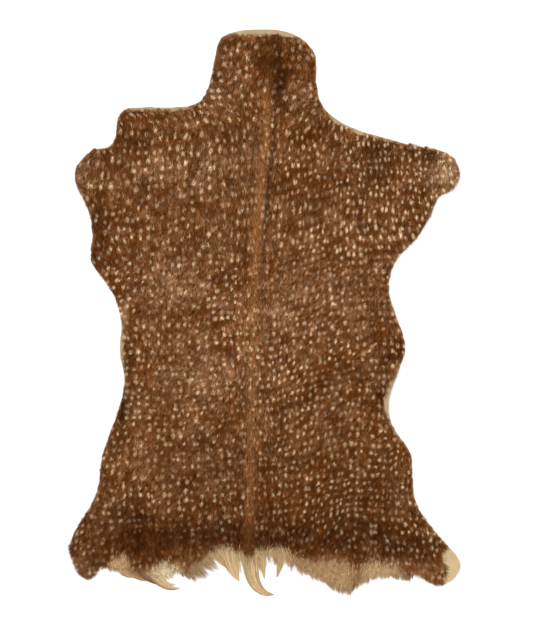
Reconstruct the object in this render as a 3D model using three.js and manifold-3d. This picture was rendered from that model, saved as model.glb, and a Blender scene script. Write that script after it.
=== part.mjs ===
// A goatskin rug lying on a floor, hair side up, with its neck towards +Y.
// Millimetres, +Z up, floor at z = 0. X runs from the animal's left to the right of the page.
import * as THREE from 'three';
import { mergeVertices } from 'three/addons/utils/BufferGeometryUtils.js';
import Module from 'manifold-3d';

const wasm = await Module();
wasm.setup();

// Driving dimensions
const LEATHER = 1.4;
const PILE = 2.9;
const HAIR_PAST = 3;
const COAT_ROOT = 0.3;
const EDGE_STEP = 12;
const GRID_STEP = 22;
const GAP = 0.3;
const STRIP_WIDTH = 7.6;
const STRIP_HEIGHT = 2;
const LOCK_PITCH = 4.7;
const LOCK_WIDTH = 4.2;
const LOCK_HEIGHT = 3.1;
const LOCK_STEPS = 4;
const LOCK_TIP = 0.5;
const ABOVE_ALL = 40;

// The cut edge, clockwise from the left root of the neck. x is measured from the middle of the
// page, y from the middle of the hide's length, and bare is the width of the cream leather that
// shows without hair inside the edge.
const NECK = [
  { place: 'left neck root', x: -108, y: 348, bare: 1 },
  { place: 'left neck side', x: -93, y: 374, bare: 0 },
  { place: 'left neck, upper', x: -84, y: 413, bare: 0 },
  { place: 'left crown corner', x: -73, y: 453, bare: 2 },
  { place: 'crown, left', x: -45, y: 464, bare: 6 },
  { place: 'crown', x: -8, y: 466.5, bare: 10 },
  { place: 'crown, right', x: 24, y: 465, bare: 8 },
  { place: 'right crown corner', x: 60, y: 452, bare: 3 },
  { place: 'right neck, upper', x: 82, y: 424, bare: 1 },
  { place: 'right neck side', x: 83, y: 385, bare: 0 },
  { place: 'right neck root', x: 91, y: 346, bare: 1 },
];
const RIGHT_FORELEG = [
  { place: 'right shoulder dip', x: 121, y: 316, bare: 5 },
  { place: 'right shoulder', x: 158, y: 299, bare: 5 },
  { place: 'right shoulder end', x: 201, y: 287, bare: 3 },
  { place: 'upper edge of the leg', x: 246, y: 275, bare: 0 },
  { place: 'leg corner', x: 282, y: 269, bare: 0 },
  { place: 'paw, front', x: 307, y: 259, bare: 0 },
  { place: 'paw', x: 320, y: 228, bare: 0 },
  { place: 'paw, rear', x: 311, y: 205, bare: 0 },
  { place: 'below the paw', x: 284, y: 190, bare: 0 },
  { place: 'armpit notch', x: 274, y: 165, bare: 0 },
  { place: 'rear of the leg', x: 249, y: 123, bare: 0 },
  { place: 'armpit', x: 215, y: 87, bare: 0 },
];
const RIGHT_FLANK = [
  { place: 'waist', x: 203, y: 40, bare: 0 },
  { place: 'belly, front', x: 214, y: -2, bare: 0 },
  { place: 'belly', x: 230, y: -54, bare: 0 },
  { place: 'belly, rear', x: 219, y: -97, bare: 5 },
  { place: 'flank fold', x: 203, y: -146, bare: 5 },
  { place: 'behind the fold', x: 208, y: -184, bare: 1 },
  { place: 'thigh', x: 239, y: -232, bare: 0 },
  { place: 'thigh, rear', x: 242, y: -278, bare: 0 },
  { place: 'hock', x: 250, y: -318, bare: 0 },
  { place: 'above the corner', x: 291, y: -374, bare: 0 },
];
const PALE_CORNER = [
  { place: 'corner, front', x: 306, y: -390, bare: 0 },
  { place: 'corner', x: 322, y: -414, bare: 0 },
  { place: 'corner, rear', x: 311, y: -437, bare: 0 },
  { place: 'corner, end', x: 292, y: -448.5, bare: 0 },
];
const RIGHT_TOE = [
  { place: 'right toe', x: 272, y: -442, bare: 0 },
  { place: 'right toe notch', x: 257, y: -434, bare: 0 },
];
const RIGHT_HEM = [
  { place: 'right flap, outer end', x: 246, y: -430, bare: 0 },
  { place: 'right flap, outer', x: 202, y: -423, bare: 0 },
  { place: 'right flap, rising', x: 170, y: -426, bare: 0 },
  { place: 'right flap tip', x: 133, y: -446, bare: 0 },
  { place: 'right flap, inner', x: 99, y: -430, bare: 0 },
  { place: 'right flap, root', x: 64, y: -415, bare: 0 },
];
const TAIL_HEM = [
  { place: 'right of the tail', x: 46, y: -403, bare: 0 },
  { place: 'tail, right', x: 29, y: -388, bare: 0 },
  { place: 'tail, right dip', x: 3, y: -389, bare: 0 },
  { place: 'tail root', x: -28, y: -402, bare: 0 },
  { place: 'tail, left dip', x: -67, y: -384, bare: 0 },
  { place: 'tail, left', x: -96, y: -397, bare: 0 },
  { place: 'left tuft', x: -126, y: -423, bare: 0 },
];
const LEFT_HEM = [
  { place: 'left flap dip', x: -149, y: -417, bare: 0 },
  { place: 'left flap tip', x: -178, y: -430, bare: 0 },
  { place: 'left flap', x: -206, y: -422, bare: 0 },
  { place: 'left flap, outer', x: -234, y: -419, bare: 0 },
  { place: 'left flap, outer end', x: -256, y: -412, bare: 0 },
];
const LEFT_TOE = [
  { place: 'left toe notch', x: -275, y: -417, bare: 0 },
  { place: 'left toe tip', x: -291, y: -437, bare: 0 },
  { place: 'left toe, outer', x: -312, y: -417, bare: 0 },
  { place: 'left hind corner', x: -322, y: -386, bare: 0 },
  { place: 'left hock', x: -309, y: -352, bare: 0 },
];
const LEFT_FLANK = [
  { place: 'left thigh, rear', x: -279, y: -300, bare: 0 },
  { place: 'left thigh', x: -268, y: -234, bare: 0 },
  { place: 'left thigh, front', x: -253, y: -191, bare: 0 },
  { place: 'behind the left flank', x: -238, y: -148, bare: 0 },
  { place: 'left flank', x: -232, y: -108, bare: 3 },
  { place: 'left flank fold', x: -240, y: -65, bare: 4 },
  { place: 'left belly', x: -237, y: -20, bare: 4 },
  { place: 'left belly, front', x: -247, y: 24, bare: 0 },
  { place: 'left armpit', x: -266, y: 55, bare: 0 },
  { place: 'rear of the left leg', x: -287, y: 85, bare: 0 },
];
const LEFT_FORELEG = [
  { place: 'left leg, rear', x: -285, y: 130, bare: 0 },
  { place: 'left leg', x: -293, y: 173, bare: 0 },
  { place: 'below the left paw', x: -310, y: 207, bare: 0 },
  { place: 'left paw', x: -314, y: 234, bare: 2 },
  { place: 'left paw, front', x: -299, y: 256, bare: 0 },
  { place: 'left paw corner', x: -282, y: 270, bare: 0 },
  { place: 'left leg notch', x: -258, y: 273, bare: 0 },
  { place: 'left shoulder step', x: -246, y: 292, bare: 0 },
  { place: 'left shoulder side', x: -244, y: 317, bare: 0 },
  { place: 'left shoulder corner', x: -233, y: 335, bare: 2 },
  { place: 'left shoulder top', x: -206, y: 338.5, bare: 5 },
  { place: 'left shoulder', x: -162, y: 338.5, bare: 5 },
  { place: 'left shoulder end', x: -130, y: 340, bare: 3 },
];

// Where the hair ends beside the bare hind corner, in the place of PALE_CORNER's own edge.
const CORNER_COAT = [
  { place: 'hair, front of the corner', x: 291, y: -383 },
  { place: 'hair, beside the corner', x: 288, y: -404 },
  { place: 'hair, middle of the corner', x: 293, y: -424 },
  { place: 'hair, rear of the corner', x: 289, y: -444 },
];

// Where the leather lifts off the floor: soft humps, half long and half wide from their middle.
const LIFTS = [
  { place: 'crown of the neck', x: -5, y: 462, along: 80, across: 34, turn: 0, rise: 3.2 },
  { place: 'right shoulder edge', x: 165, y: 300, along: 85, across: 30, turn: -20, rise: 2.6 },
  { place: 'left shoulder edge', x: -185, y: 342, along: 75, across: 28, turn: 0, rise: 2.8 },
  { place: 'right paw', x: 318, y: 235, along: 50, across: 38, turn: 80, rise: 3.4 },
  { place: 'left paw', x: -312, y: 232, along: 52, across: 36, turn: 80, rise: 3 },
  { place: 'left flank edge', x: -244, y: -62, along: 95, across: 34, turn: 90, rise: 3.6 },
  { place: 'right flank edge', x: 208, y: -140, along: 85, across: 34, turn: 80, rise: 3.6 },
  { place: 'right belly edge', x: 232, y: -48, along: 70, across: 26, turn: 90, rise: 1.8 },
  { place: 'pale corner', x: 318, y: -418, along: 55, across: 40, turn: 60, rise: 3.2 },
  { place: 'left hind corner', x: -318, y: -392, along: 55, across: 36, turn: 100, rise: 2.6 },
  { place: 'wave behind the shoulders', x: 72, y: 152, along: 120, across: 46, turn: 62, rise: 1.7 },
  { place: 'wave in the left belly', x: -128, y: 62, along: 130, across: 48, turn: 28, rise: 1.9 },
  { place: 'wave in the right belly', x: 96, y: -112, along: 120, across: 50, turn: -34, rise: 1.6 },
  { place: 'wave across the rump', x: -95, y: -262, along: 130, across: 46, turn: -14, rise: 1.8 },
];

// Where the hair stands higher than over the rest of the hide.
const THICK_HAIR = [
  { place: 'rump', x: 10, y: -392, along: 330, across: 85, turn: 0, rise: 1.7 },
  { place: 'left toe', x: -285, y: -405, along: 60, across: 50, turn: 0, rise: 0.6 },
  { place: 'right toe', x: 262, y: -412, along: 55, across: 48, turn: 0, rise: 0.6 },
  { place: 'spine, rear', x: -18, y: -200, along: 210, across: 26, turn: 90, rise: 0.5 },
  { place: 'spine, front', x: -6, y: 190, along: 230, across: 26, turn: 91, rise: 0.6 },
  { place: 'neck whorl', x: 14, y: 400, along: 60, across: 45, turn: 90, rise: 0.7 },
];

// The rows of hair at the rear edge: how far each lock reaches past the edge, how far it leans to
// the right of straight back at its root, and how far it then turns.
const HEM_HAIR = [
  { place: 'left flap, outer end', x: -256, reach: 8, lean: -8, curl: 10 },
  { place: 'left flap', x: -222, reach: 10, lean: 6, curl: 14 },
  { place: 'left flap tip', x: -190, reach: 13, lean: 20, curl: 20 },
  { place: 'before the hook', x: -178, reach: 22, lean: 30, curl: 36 },
  { place: 'inside the hook', x: -165, reach: 9, lean: 22, curl: 10 },
  { place: 'left flap dip', x: -150, reach: 8, lean: 12, curl: 6 },
  { place: 'left tuft, outer', x: -128, reach: 18, lean: 6, curl: 8 },
  { place: 'left tuft', x: -104, reach: 38, lean: 4, curl: 6 },
  { place: 'beside the left tuft', x: -92, reach: 24, lean: 8, curl: 8 },
  { place: 'tail, left', x: -80, reach: 25, lean: 14, curl: 10 },
  { place: 'tail, left dip', x: -66, reach: 36, lean: 22, curl: 12 },
  { place: 'tail, left tuft', x: -54, reach: 45, lean: 24, curl: 8 },
  { place: 'beside the claw', x: -46, reach: 38, lean: 12, curl: 6 },
  { place: 'behind the claw', x: -28, reach: 24, lean: 8, curl: 6 },
  { place: 'inside the claw', x: -6, reach: 26, lean: 16, curl: 22 },
  { place: 'tail, right dip', x: 6, reach: 21, lean: 14, curl: 16 },
  { place: 'tail, right', x: 26, reach: 32, lean: -8, curl: -10 },
  { place: 'beside the right lock', x: 38, reach: 27, lean: -4, curl: -4 },
  { place: 'right flap, root', x: 60, reach: 20, lean: 0, curl: 4 },
  { place: 'right flap, inner', x: 96, reach: 18, lean: -4, curl: 6 },
  { place: 'right flap tip', x: 132, reach: 13, lean: 2, curl: 8 },
  { place: 'right flap, rising', x: 168, reach: 16, lean: 6, curl: 8 },
  { place: 'right flap, outer', x: 205, reach: 14, lean: 2, curl: 6 },
  { place: 'right flap, outer end', x: 244, reach: 12, lean: -4, curl: 4 },
];

// The locks that stand out of those rows.
const BIG_LOCKS = [
  { place: 'the claw', hem: 'tail', x: -25, width: 31, reach: 82, lean: 4, curl: 92, height: 6 },
  { place: 'hook of the left flap', hem: 'left', x: -172, width: 9, reach: 37, lean: 26, curl: 84, height: 4 },
  { place: 'inside the claw', hem: 'tail', x: -3, width: 9, reach: 50, lean: 0, curl: 8, height: 4 },
  { place: 'right tail lock', hem: 'tail', x: 26, width: 12, reach: 46, lean: -4, curl: -16, height: 4.5 },
];

const EDGE = [
  { name: 'neck', rows: NECK },
  { name: 'right foreleg', rows: RIGHT_FORELEG },
  { name: 'right flank', rows: RIGHT_FLANK },
  { name: 'pale corner', rows: PALE_CORNER },
  { name: 'right toe', rows: RIGHT_TOE },
  { name: 'right', rows: RIGHT_HEM },
  { name: 'tail', rows: TAIL_HEM },
  { name: 'left', rows: LEFT_HEM },
  { name: 'left toe', rows: LEFT_TOE },
  { name: 'left flank', rows: LEFT_FLANK },
  { name: 'left foreleg', rows: LEFT_FORELEG },
];

const radians = THREE.MathUtils.degToRad;
const mix = THREE.MathUtils.lerp;

/** A smooth hump: 1 at its middle, falling to exactly 0 at the rim of its ellipse. */
function hump(row, x, y) {
  const turn = radians(row.turn);
  const dx = x - row.x;
  const dy = y - row.y;
  const u = (dx * Math.cos(turn) + dy * Math.sin(turn)) / row.along;
  const v = (dy * Math.cos(turn) - dx * Math.sin(turn)) / row.across;
  const r2 = u * u + v * v;
  return r2 < 1 ? row.rise * (1 - r2) ** 2 : 0;
}

/** Height of the leather's underside over the floor. */
function underside(x, y) {
  return LIFTS.reduce((height, row) => Math.max(height, hump(row, x, y)), 0);
}

/** Height of the leather's upper face. */
function grainSide(x, y) {
  return underside(x, y) + LEATHER;
}

/** Height of the hair's top, thicker over the rump and softly uneven all over. */
function hairTop(x, y) {
  const thick = THICK_HAIR.reduce((height, row) => Math.max(height, hump(row, x, y)), 0);
  const uneven = 0.28 * Math.sin(x / 23 + y / 61) + 0.22 * Math.sin(y / 19 - x / 47);
  return grainSide(x, y) + PILE + thick + uneven;
}

/** Turns a closed geometry into a solid that can be joined and cut. */
function solid(geometry) {
  const bare = geometry.clone();
  bare.deleteAttribute('normal');
  bare.deleteAttribute('uv');
  const merged = mergeVertices(bare, 1e-4);
  return new wasm.Manifold(new wasm.Mesh({
    numProp: 3,
    vertProperties: new Float32Array(merged.attributes.position.array),
    triVerts: new Uint32Array(merged.index.array),
  }));
}

/** Turns a solid back into a geometry. */
function geometryOf(body) {
  const mesh = body.getMesh();
  const geometry = new THREE.BufferGeometry();
  geometry.setAttribute('position', new THREE.BufferAttribute(mesh.vertProperties, 3));
  geometry.setIndex(new THREE.BufferAttribute(mesh.triVerts, 1));
  geometry.computeVertexNormals();
  return geometry;
}

/** Walks the whole cut edge on one smooth closed curve, with the outward direction at each step. */
function walkEdge() {
  const rows = EDGE.flatMap((part) => part.rows.map((row) => ({ ...row, part: part.name })));
  const points = rows.map((row) => new THREE.Vector3(row.x, row.y, 0));
  const curve = new THREE.CatmullRomCurve3(points, true, 'centripetal');
  return rows.flatMap((row, i) => {
    const next = rows[(i + 1) % rows.length];
    const steps = Math.max(1, Math.round(Math.hypot(next.x - row.x, next.y - row.y) / EDGE_STEP));
    return Array.from({ length: steps }, (_, step) => {
      const share = step / steps;
      const at = (i + share) / rows.length;
      const point = curve.getPoint(at);
      const along = curve.getTangent(at);
      return {
        part: row.part,
        x: point.x,
        y: point.y,
        outX: -along.y,
        outY: along.x,
        bare: mix(row.bare, next.bare, share),
      };
    });
  });
}

/** A point at a distance outside the edge, or inside it where the distance is negative. */
function outside(step, distance) {
  return new THREE.Vector2(step.x + step.outX * distance, step.y + step.outY * distance);
}

/** How far outside the cut edge the hair's slab ends before the cut, by the bare rim's width. */
function hairLine(bare) {
  return HAIR_PAST * (1 - Math.min(1, bare / 2)) - bare;
}

/** An upright block with the given outline. */
function block(outline, low, high) {
  const depth = high - low;
  const extruded = new THREE.ExtrudeGeometry(new THREE.Shape(outline), { depth, bevelEnabled: false });
  return solid(extruded.translate(0, 0, low));
}

/** A slab between two height functions, over an area a little larger than the hide. */
function slab(bottom, top, size) {
  const columns = Math.round(size.x / GRID_STEP);
  const lines = Math.round(size.y / GRID_STEP);
  const sheet = new THREE.BoxGeometry(size.x, size.y, 1, columns, lines, 1);
  const places = sheet.attributes.position;
  for (let i = 0; i < places.count; i += 1) {
    const height = places.getZ(i) > 0 ? top : bottom;
    places.setZ(i, height(places.getX(i), places.getY(i)));
  }
  return solid(sheet);
}

/** The one-piece hide: the leather to its cut edge, and the hair's slab on it. */
function hide(edge) {
  const size = new THREE.Vector2(32 * GRID_STEP, 44 * GRID_STEP);
  const leather = slab(underside, grainSide, size);
  const hair = slab((x, y) => underside(x, y) + COAT_ROOT, hairTop, size);
  const cut = edge.map((step) => outside(step, 0));
  const corner = edge.findIndex((step) => step.part === 'pale corner');
  const haired = edge.filter((step) => step.part !== 'pale corner');
  const coatLine = haired.map((step) => outside(step, hairLine(step.bare)));
  coatLine.splice(corner, 0, ...CORNER_COAT.map((row) => new THREE.Vector2(row.x, row.y)));
  const coat = hair.intersect(block(coatLine, -ABOVE_ALL, ABOVE_ALL));
  return leather.add(coat).intersect(block(cut, -ABOVE_ALL, ABOVE_ALL));
}

/** A lock of three sides that lies level on the floor: flat below, one ridge above. */
function lock({ x, y, width, reach, lean, curl, height }) {
  const places = [];
  const faces = [];
  const point = new THREE.Vector2(x, y);
  for (let i = 0; i <= LOCK_STEPS; i += 1) {
    const share = i / LOCK_STEPS;
    const heading = radians(lean + curl * share * share);
    const half = mix(LOCK_TIP, 0.5 * width, 1 - share ** 2.2);
    const ridge = mix(LOCK_TIP, height, 1 - share ** 1.4);
    const acrossX = Math.cos(heading) * half;
    const acrossY = Math.sin(heading) * half;
    places.push(point.x - acrossX, point.y - acrossY, 0);
    places.push(point.x + acrossX, point.y + acrossY, 0);
    places.push(point.x, point.y, ridge);
    const middle = radians(lean + curl * ((i + 0.5) / LOCK_STEPS) ** 2);
    point.x += (Math.sin(middle) * reach) / LOCK_STEPS;
    point.y -= (Math.cos(middle) * reach) / LOCK_STEPS;
  }
  for (let i = 0; i < LOCK_STEPS; i += 1) {
    for (let side = 0; side < 3; side += 1) {
      const a = i * 3 + side;
      const b = i * 3 + ((side + 1) % 3);
      faces.push(a, b, b + 3, a, b + 3, a + 3);
    }
  }
  const last = LOCK_STEPS * 3;
  faces.push(0, 2, 1, last, last + 1, last + 2);
  const geometry = new THREE.BufferGeometry();
  geometry.setAttribute('position', new THREE.BufferAttribute(new Float32Array(places), 3));
  geometry.setIndex(faces);
  return solid(geometry);
}

/** The row of HEM_HAIR at x, with everything between two rows mixed. */
function hairAt(x) {
  const next = Math.max(1, HEM_HAIR.findIndex((row) => row.x > x));
  const low = HEM_HAIR[next - 1];
  const high = HEM_HAIR[next];
  const share = THREE.MathUtils.clamp((x - low.x) / (high.x - low.x), 0, 1);
  return {
    reach: mix(low.reach, high.reach, share),
    lean: mix(low.lean, high.lean, share),
    curl: mix(low.curl, high.curl, share),
  };
}

/** The place on the middle of a hem's strip that has the given x. */
function onStrip(steps, x) {
  const middle = steps.map((step) => outside(step, GAP + STRIP_WIDTH * 0.5));
  const after = middle.findIndex((point) => point.x < x);
  const [a, b] = [middle[after - 1], middle[after]];
  return mix(a.y, b.y, (x - a.x) / (b.x - a.x));
}

/** A narrow strip along one stretch of the rear edge, with its locks fused to it at their roots. */
function hemHair(edge, name) {
  const first = edge.findIndex((step) => step.part === name);
  const count = edge.filter((step) => step.part === name).length;
  const steps = edge.slice(first, first + count + 1);
  const ends = { right: steps[0].x - 2, left: steps[count].x + 2 };
  const near = steps.map((step) => outside(step, GAP));
  const far = steps.map((step) => outside(step, GAP + STRIP_WIDTH)).reverse();
  const window = [[ends.left, 0], [ends.right, 0], [ends.right, -600], [ends.left, -600]];
  const trim = block(window.map(([x, y]) => new THREE.Vector2(x, y)), -ABOVE_ALL, ABOVE_ALL);
  const strip = block([...near, ...far], 0, STRIP_HEIGHT).intersect(trim);
  const big = BIG_LOCKS.filter((row) => row.hem === name);
  const locks = big.map((row) => lock({ ...row, y: onStrip(steps, row.x) }));
  const margin = LOCK_WIDTH * 0.5 + 1;
  const places = Math.floor((ends.right - ends.left - 2 * margin) / LOCK_PITCH);
  for (let i = 0; i <= places; i += 1) {
    const x = ends.left + margin + i * LOCK_PITCH;
    if (big.some((row) => Math.abs(row.x - x) < (row.width + LOCK_WIDTH) * 0.5)) continue;
    const { reach, lean, curl } = hairAt(x);
    const uneven = 1 + 0.12 * Math.sin(i * 2.4);
    const shape = { width: LOCK_WIDTH, reach: reach * uneven, lean, curl, height: LOCK_HEIGHT };
    locks.push(lock({ x, y: onStrip(steps, x), ...shape }));
  }
  return locks.reduce((body, next) => body.add(next), strip);
}

/** A named mesh with its own finish. */
function piece(name, body, color, roughness) {
  const material = new THREE.MeshStandardMaterial({ color, roughness, metalness: 0 });
  const mesh = new THREE.Mesh(geometryOf(body), material);
  mesh.name = name;
  return mesh;
}

const edge = walkEdge();
const rug = new THREE.Group();
rug.add(piece('hide', hide(edge), 0x6b4225, 0.85));
rug.add(piece('left_hem_hair', hemHair(edge, 'left'), 0xc8a574, 0.7));
rug.add(piece('tail_hair', hemHair(edge, 'tail'), 0xd2ae70, 0.65));
rug.add(piece('right_hem_hair', hemHair(edge, 'right'), 0xb98f62, 0.7));

// The origin is under the middle of the rug's own box.
const middle = new THREE.Box3().setFromObject(rug).getCenter(new THREE.Vector3());
rug.position.set(-middle.x, -middle.y, 0);

export default rug;
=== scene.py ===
"""A goatskin rug lying flat, hair side up, seen from straight above.

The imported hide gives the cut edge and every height. The leather, the hair close to it, the short
coat, the longer rump hair and the long hair at the rear edge are laid over it strand by strand.
Lengths in the tables are millimetres in the rug's own frame, with +Y towards the neck, and angles
are degrees.
"""

import logging
import math
from dataclasses import dataclass, field
from enum import Enum

import bpy
import numpy as np
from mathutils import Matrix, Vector
from mathutils.bvhtree import BVHTree


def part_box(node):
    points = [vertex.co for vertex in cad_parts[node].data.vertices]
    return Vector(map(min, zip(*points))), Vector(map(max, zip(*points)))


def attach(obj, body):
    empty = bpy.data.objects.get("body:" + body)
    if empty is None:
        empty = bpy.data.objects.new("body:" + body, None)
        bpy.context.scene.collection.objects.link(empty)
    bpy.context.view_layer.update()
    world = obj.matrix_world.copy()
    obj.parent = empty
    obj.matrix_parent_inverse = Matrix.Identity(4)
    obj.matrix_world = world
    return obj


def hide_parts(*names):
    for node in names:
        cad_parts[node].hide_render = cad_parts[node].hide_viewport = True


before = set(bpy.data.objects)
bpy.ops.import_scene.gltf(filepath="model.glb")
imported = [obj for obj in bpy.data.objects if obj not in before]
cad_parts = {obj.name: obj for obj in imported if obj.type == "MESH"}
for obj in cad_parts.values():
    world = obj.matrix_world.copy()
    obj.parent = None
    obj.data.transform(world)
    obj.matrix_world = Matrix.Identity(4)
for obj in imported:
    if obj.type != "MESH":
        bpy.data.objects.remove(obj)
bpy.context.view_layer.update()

MM = 0.001
Colour = tuple[float, float, float]
Wave = tuple[float, float, int]
Lamp = tuple[str, tuple[float, float, float], float, float]

log = logging.getLogger("goatskin")


class Slot(Enum):
    """The material slots' names."""

    COAT = "spotted_coat"
    BLOND = "blond_hair"
    LEATHER = "bare_leather"


class CoatPart(Enum):
    """The stretches of the short coat, front to rear, with their front and rear ends."""

    NECK_AND_SHOULDERS = (500.0, 190.0)
    FOREBODY = (190.0, 6.0)
    BELLY = (6.0, -200.0)
    HINDQUARTERS = (-200.0, -500.0)


class Hem(Enum):
    """The three stretches of long hair at the rear edge."""

    LEFT = "left_hem_hair"
    TAIL = "tail_hair"
    RIGHT = "right_hem_hair"


class Shade(Enum):
    """The long hair's colours, pale to dark, as linear colours."""

    WHITE = (0.7, 0.58, 0.4)
    CREAM = (0.56, 0.395, 0.205)
    BLOND = (0.5, 0.33, 0.165)
    TAN = (0.42, 0.26, 0.125)
    FAWN = (0.36, 0.225, 0.115)
    BROWN = (0.28, 0.165, 0.08)
    DARK = (0.2, 0.11, 0.05)


@dataclass(frozen=True)
class Patch:
    """A soft oval patch: its middle, half length, half width, turn and strength."""

    place: str
    x: float
    y: float
    along: float
    across: float
    turn: float
    gain: float

    def at(self, x: np.ndarray, y: np.ndarray) -> np.ndarray:
        """Strength of the patch at each place.

        Args:
            x: Places across the rug.
            y: Places along the rug.

        Returns:
            The gain at the middle, falling softly to nothing past the rim.
        """
        turn = math.radians(self.turn)
        dx, dy = x - self.x, y - self.y
        u = (dx * math.cos(turn) + dy * math.sin(turn)) / self.along
        v = (dy * math.cos(turn) - dx * math.sin(turn)) / self.across
        return self.gain * np.exp(-1.6 * (u * u + v * v))


def laid(patches: tuple[Patch, ...], x: np.ndarray, y: np.ndarray) -> np.ndarray:
    """Sum of some patches' strengths at each place."""
    return sum(patch.at(x, y) for patch in patches)


@dataclass(frozen=True)
class Lock:
    """A row of long hair or one big lock: root, reach, lean at the root, turn, tufting, width and height."""

    place: str
    x: float
    reach: float
    lean: float
    curl: float
    tufted: float = 0.5
    width: float = 0.0
    height: float = 0.0


# Which way the hair lies: degrees to the right of straight back, with the reach of each reading.
FLOW = (
    Patch("neck, left", -52, 402, 60, 45, 90, -3),
    Patch("neck, right", 56, 402, 60, 45, 90, -10),
    Patch("right root of the neck", 86, 326, 50, 45, 0, -22),
    Patch("left root of the neck", -86, 320, 50, 45, 0, -6),
    Patch("left shoulder", -190, 268, 80, 60, 0, -2),
    Patch("left paw", -290, 220, 50, 50, 0, -8),
    Patch("left of the spine, front", -90, 160, 80, 60, 90, -10),
    Patch("left belly, front", -210, 120, 70, 60, 90, -5),
    Patch("left belly", -110, -60, 80, 60, 90, -22),
    Patch("left flank edge", -226, 10, 90, 30, 90, -4),
    Patch("left flank, rear", -220, -150, 70, 40, 90, -12),
    Patch("left hind", -140, -230, 70, 70, 0, -24),
    Patch("left thigh, front", -205, -202, 26, 16, 0, 24),
    Patch("left hind edge", -262, -310, 70, 40, 70, -28),
    Patch("left toe", -304, -410, 20, 30, 0, -20),
    Patch("tip of the left toe", -282, -430, 20, 24, 0, 22),
    Patch("right shoulder", 150, 262, 70, 60, 0, -16),
    Patch("right foreleg", 230, 215, 60, 60, 0, -8),
    Patch("right paw", 300, 222, 40, 50, 0, 6),
    Patch("right belly, front", 120, 110, 80, 70, 90, -38),
    Patch("right belly", 120, -60, 90, 60, 90, -42),
    Patch("right belly edge", 218, -20, 90, 26, 90, -6),
    Patch("right flank, rear", 150, -180, 70, 60, 90, -38),
    Patch("right hind", 130, -280, 70, 60, 0, -38),
    Patch("right hind edge", 232, -270, 80, 30, 90, -4),
    Patch("right toe", 270, -390, 50, 50, 0, 4),
    Patch("spine, front", -4, 200, 140, 22, 90, -2),
    Patch("spine, rear", -22, -180, 190, 20, 90, -6),
    Patch("rump, left", -150, -390, 70, 40, 0, 4),
    Patch("rump, middle", 0, -380, 70, 40, 0, 2),
    Patch("rump, right", 130, -384, 70, 30, 0, -12),
    Patch("right flap, inner", 92, -434, 28, 20, 0, 28),
    Patch("right flap, rising", 156, -432, 24, 18, 0, -36),
    Patch("first tuft of the right leg", 244, 276, 8, 8, 0, 320),
    Patch("second tuft of the right leg", 271, 269, 8, 8, 0, 320),
    Patch("tuft of the left leg", -287, 268, 8, 8, 0, -300),
)

# Where the brown is lighter or darker than over the rest of the coat.
TONES = (
    Patch("dark block of the left shoulder", -204, 280, 48, 19, 0, -0.42),
    Patch("right shoulder", 176, 250, 74, 44, -10, -0.4),
    Patch("behind the left leg", -276, 140, 80, 20, 90, -0.42),
    Patch("left flank, rear", -238, -150, 56, 18, 90, -0.48),
    Patch("fold of the left flank", -222, -78, 34, 11, 90, -0.4),
    Patch("left belly, behind the fold", -166, -134, 44, 22, 0, -0.24),
    Patch("right flank", 204, -76, 28, 20, 60, -0.45),
    Patch("fold of the right flank", 188, -140, 30, 15, 100, -0.45),
    Patch("right belly, middle", 100, -110, 90, 36, 20, -0.16),
    Patch("hindquarters", 0, -290, 300, 80, 0, -0.23),
    Patch("rump", 0, -372, 320, 42, 0, -0.54),
    Patch("left toe", -214, -388, 62, 24, 0, -0.5),
    Patch("tip of the left toe", -292, -424, 30, 40, 0, -0.3),
    Patch("rump, left", -180, -362, 120, 30, 0, -0.36),
    Patch("above the left toe", -222, -335, 60, 16, 0, -0.46),
    Patch("right of the tail", 66, -392, 46, 16, 0, -0.26),
    Patch("right toe", 230, -388, 60, 30, 0, -0.4),
    Patch("above the right toe", 178, -352, 60, 20, 0, -0.24),
    Patch("neck whorl", 10, 408, 54, 32, 90, -0.64),
    Patch("dark blotch of the neck", 27, 378, 38, 13, 82, -0.74),
    Patch("crown, left", -24, 440, 26, 12, 0, -0.3),
    Patch("crown, right", 40, 436, 34, 14, 0, -0.2),
    Patch("grey of the left shoulder", -158, 234, 44, 30, 0, 0.3),
    Patch("streak behind it", -138, 62, 36, 14, 10, 0.24),
    Patch("left belly, middle", -120, 30, 60, 20, 0, 0.14),
    Patch("left flank, front", -232, -4, 34, 20, 90, 0.2),
    Patch("left belly, rear", -112, -98, 36, 24, 0, 0.2),
    Patch("middle of the back", -8, -4, 64, 32, 0, 0.22),
    Patch("left thigh", -212, -252, 40, 60, 0, 0.14),
    Patch("right paw", 300, 234, 34, 42, 0, 0.3),
    Patch("cloudy patch", 174, 164, 12, 12, 0, 0.9),
    Patch("pale patch of the crown", -27, 448, 16, 9, 0, 1.2),
    Patch("below the whorl", -10, 336, 40, 26, 0, 0.05),
    Patch("right belly, front", 163, 10, 52, 16, 15, 0.22),
    Patch("right thigh", 40, -196, 50, 22, 0, 0.14),
    Patch("left paw", -296, 232, 20, 32, 0, 0.22),
    Patch("belly", -20, -30, 210, 130, 0, 0.3),
    Patch("left side", -178, 24, 60, 60, 0, 0.16),
    Patch("spine, front", -10, 170, 60, 12, 90, 0.12),
)

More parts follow.
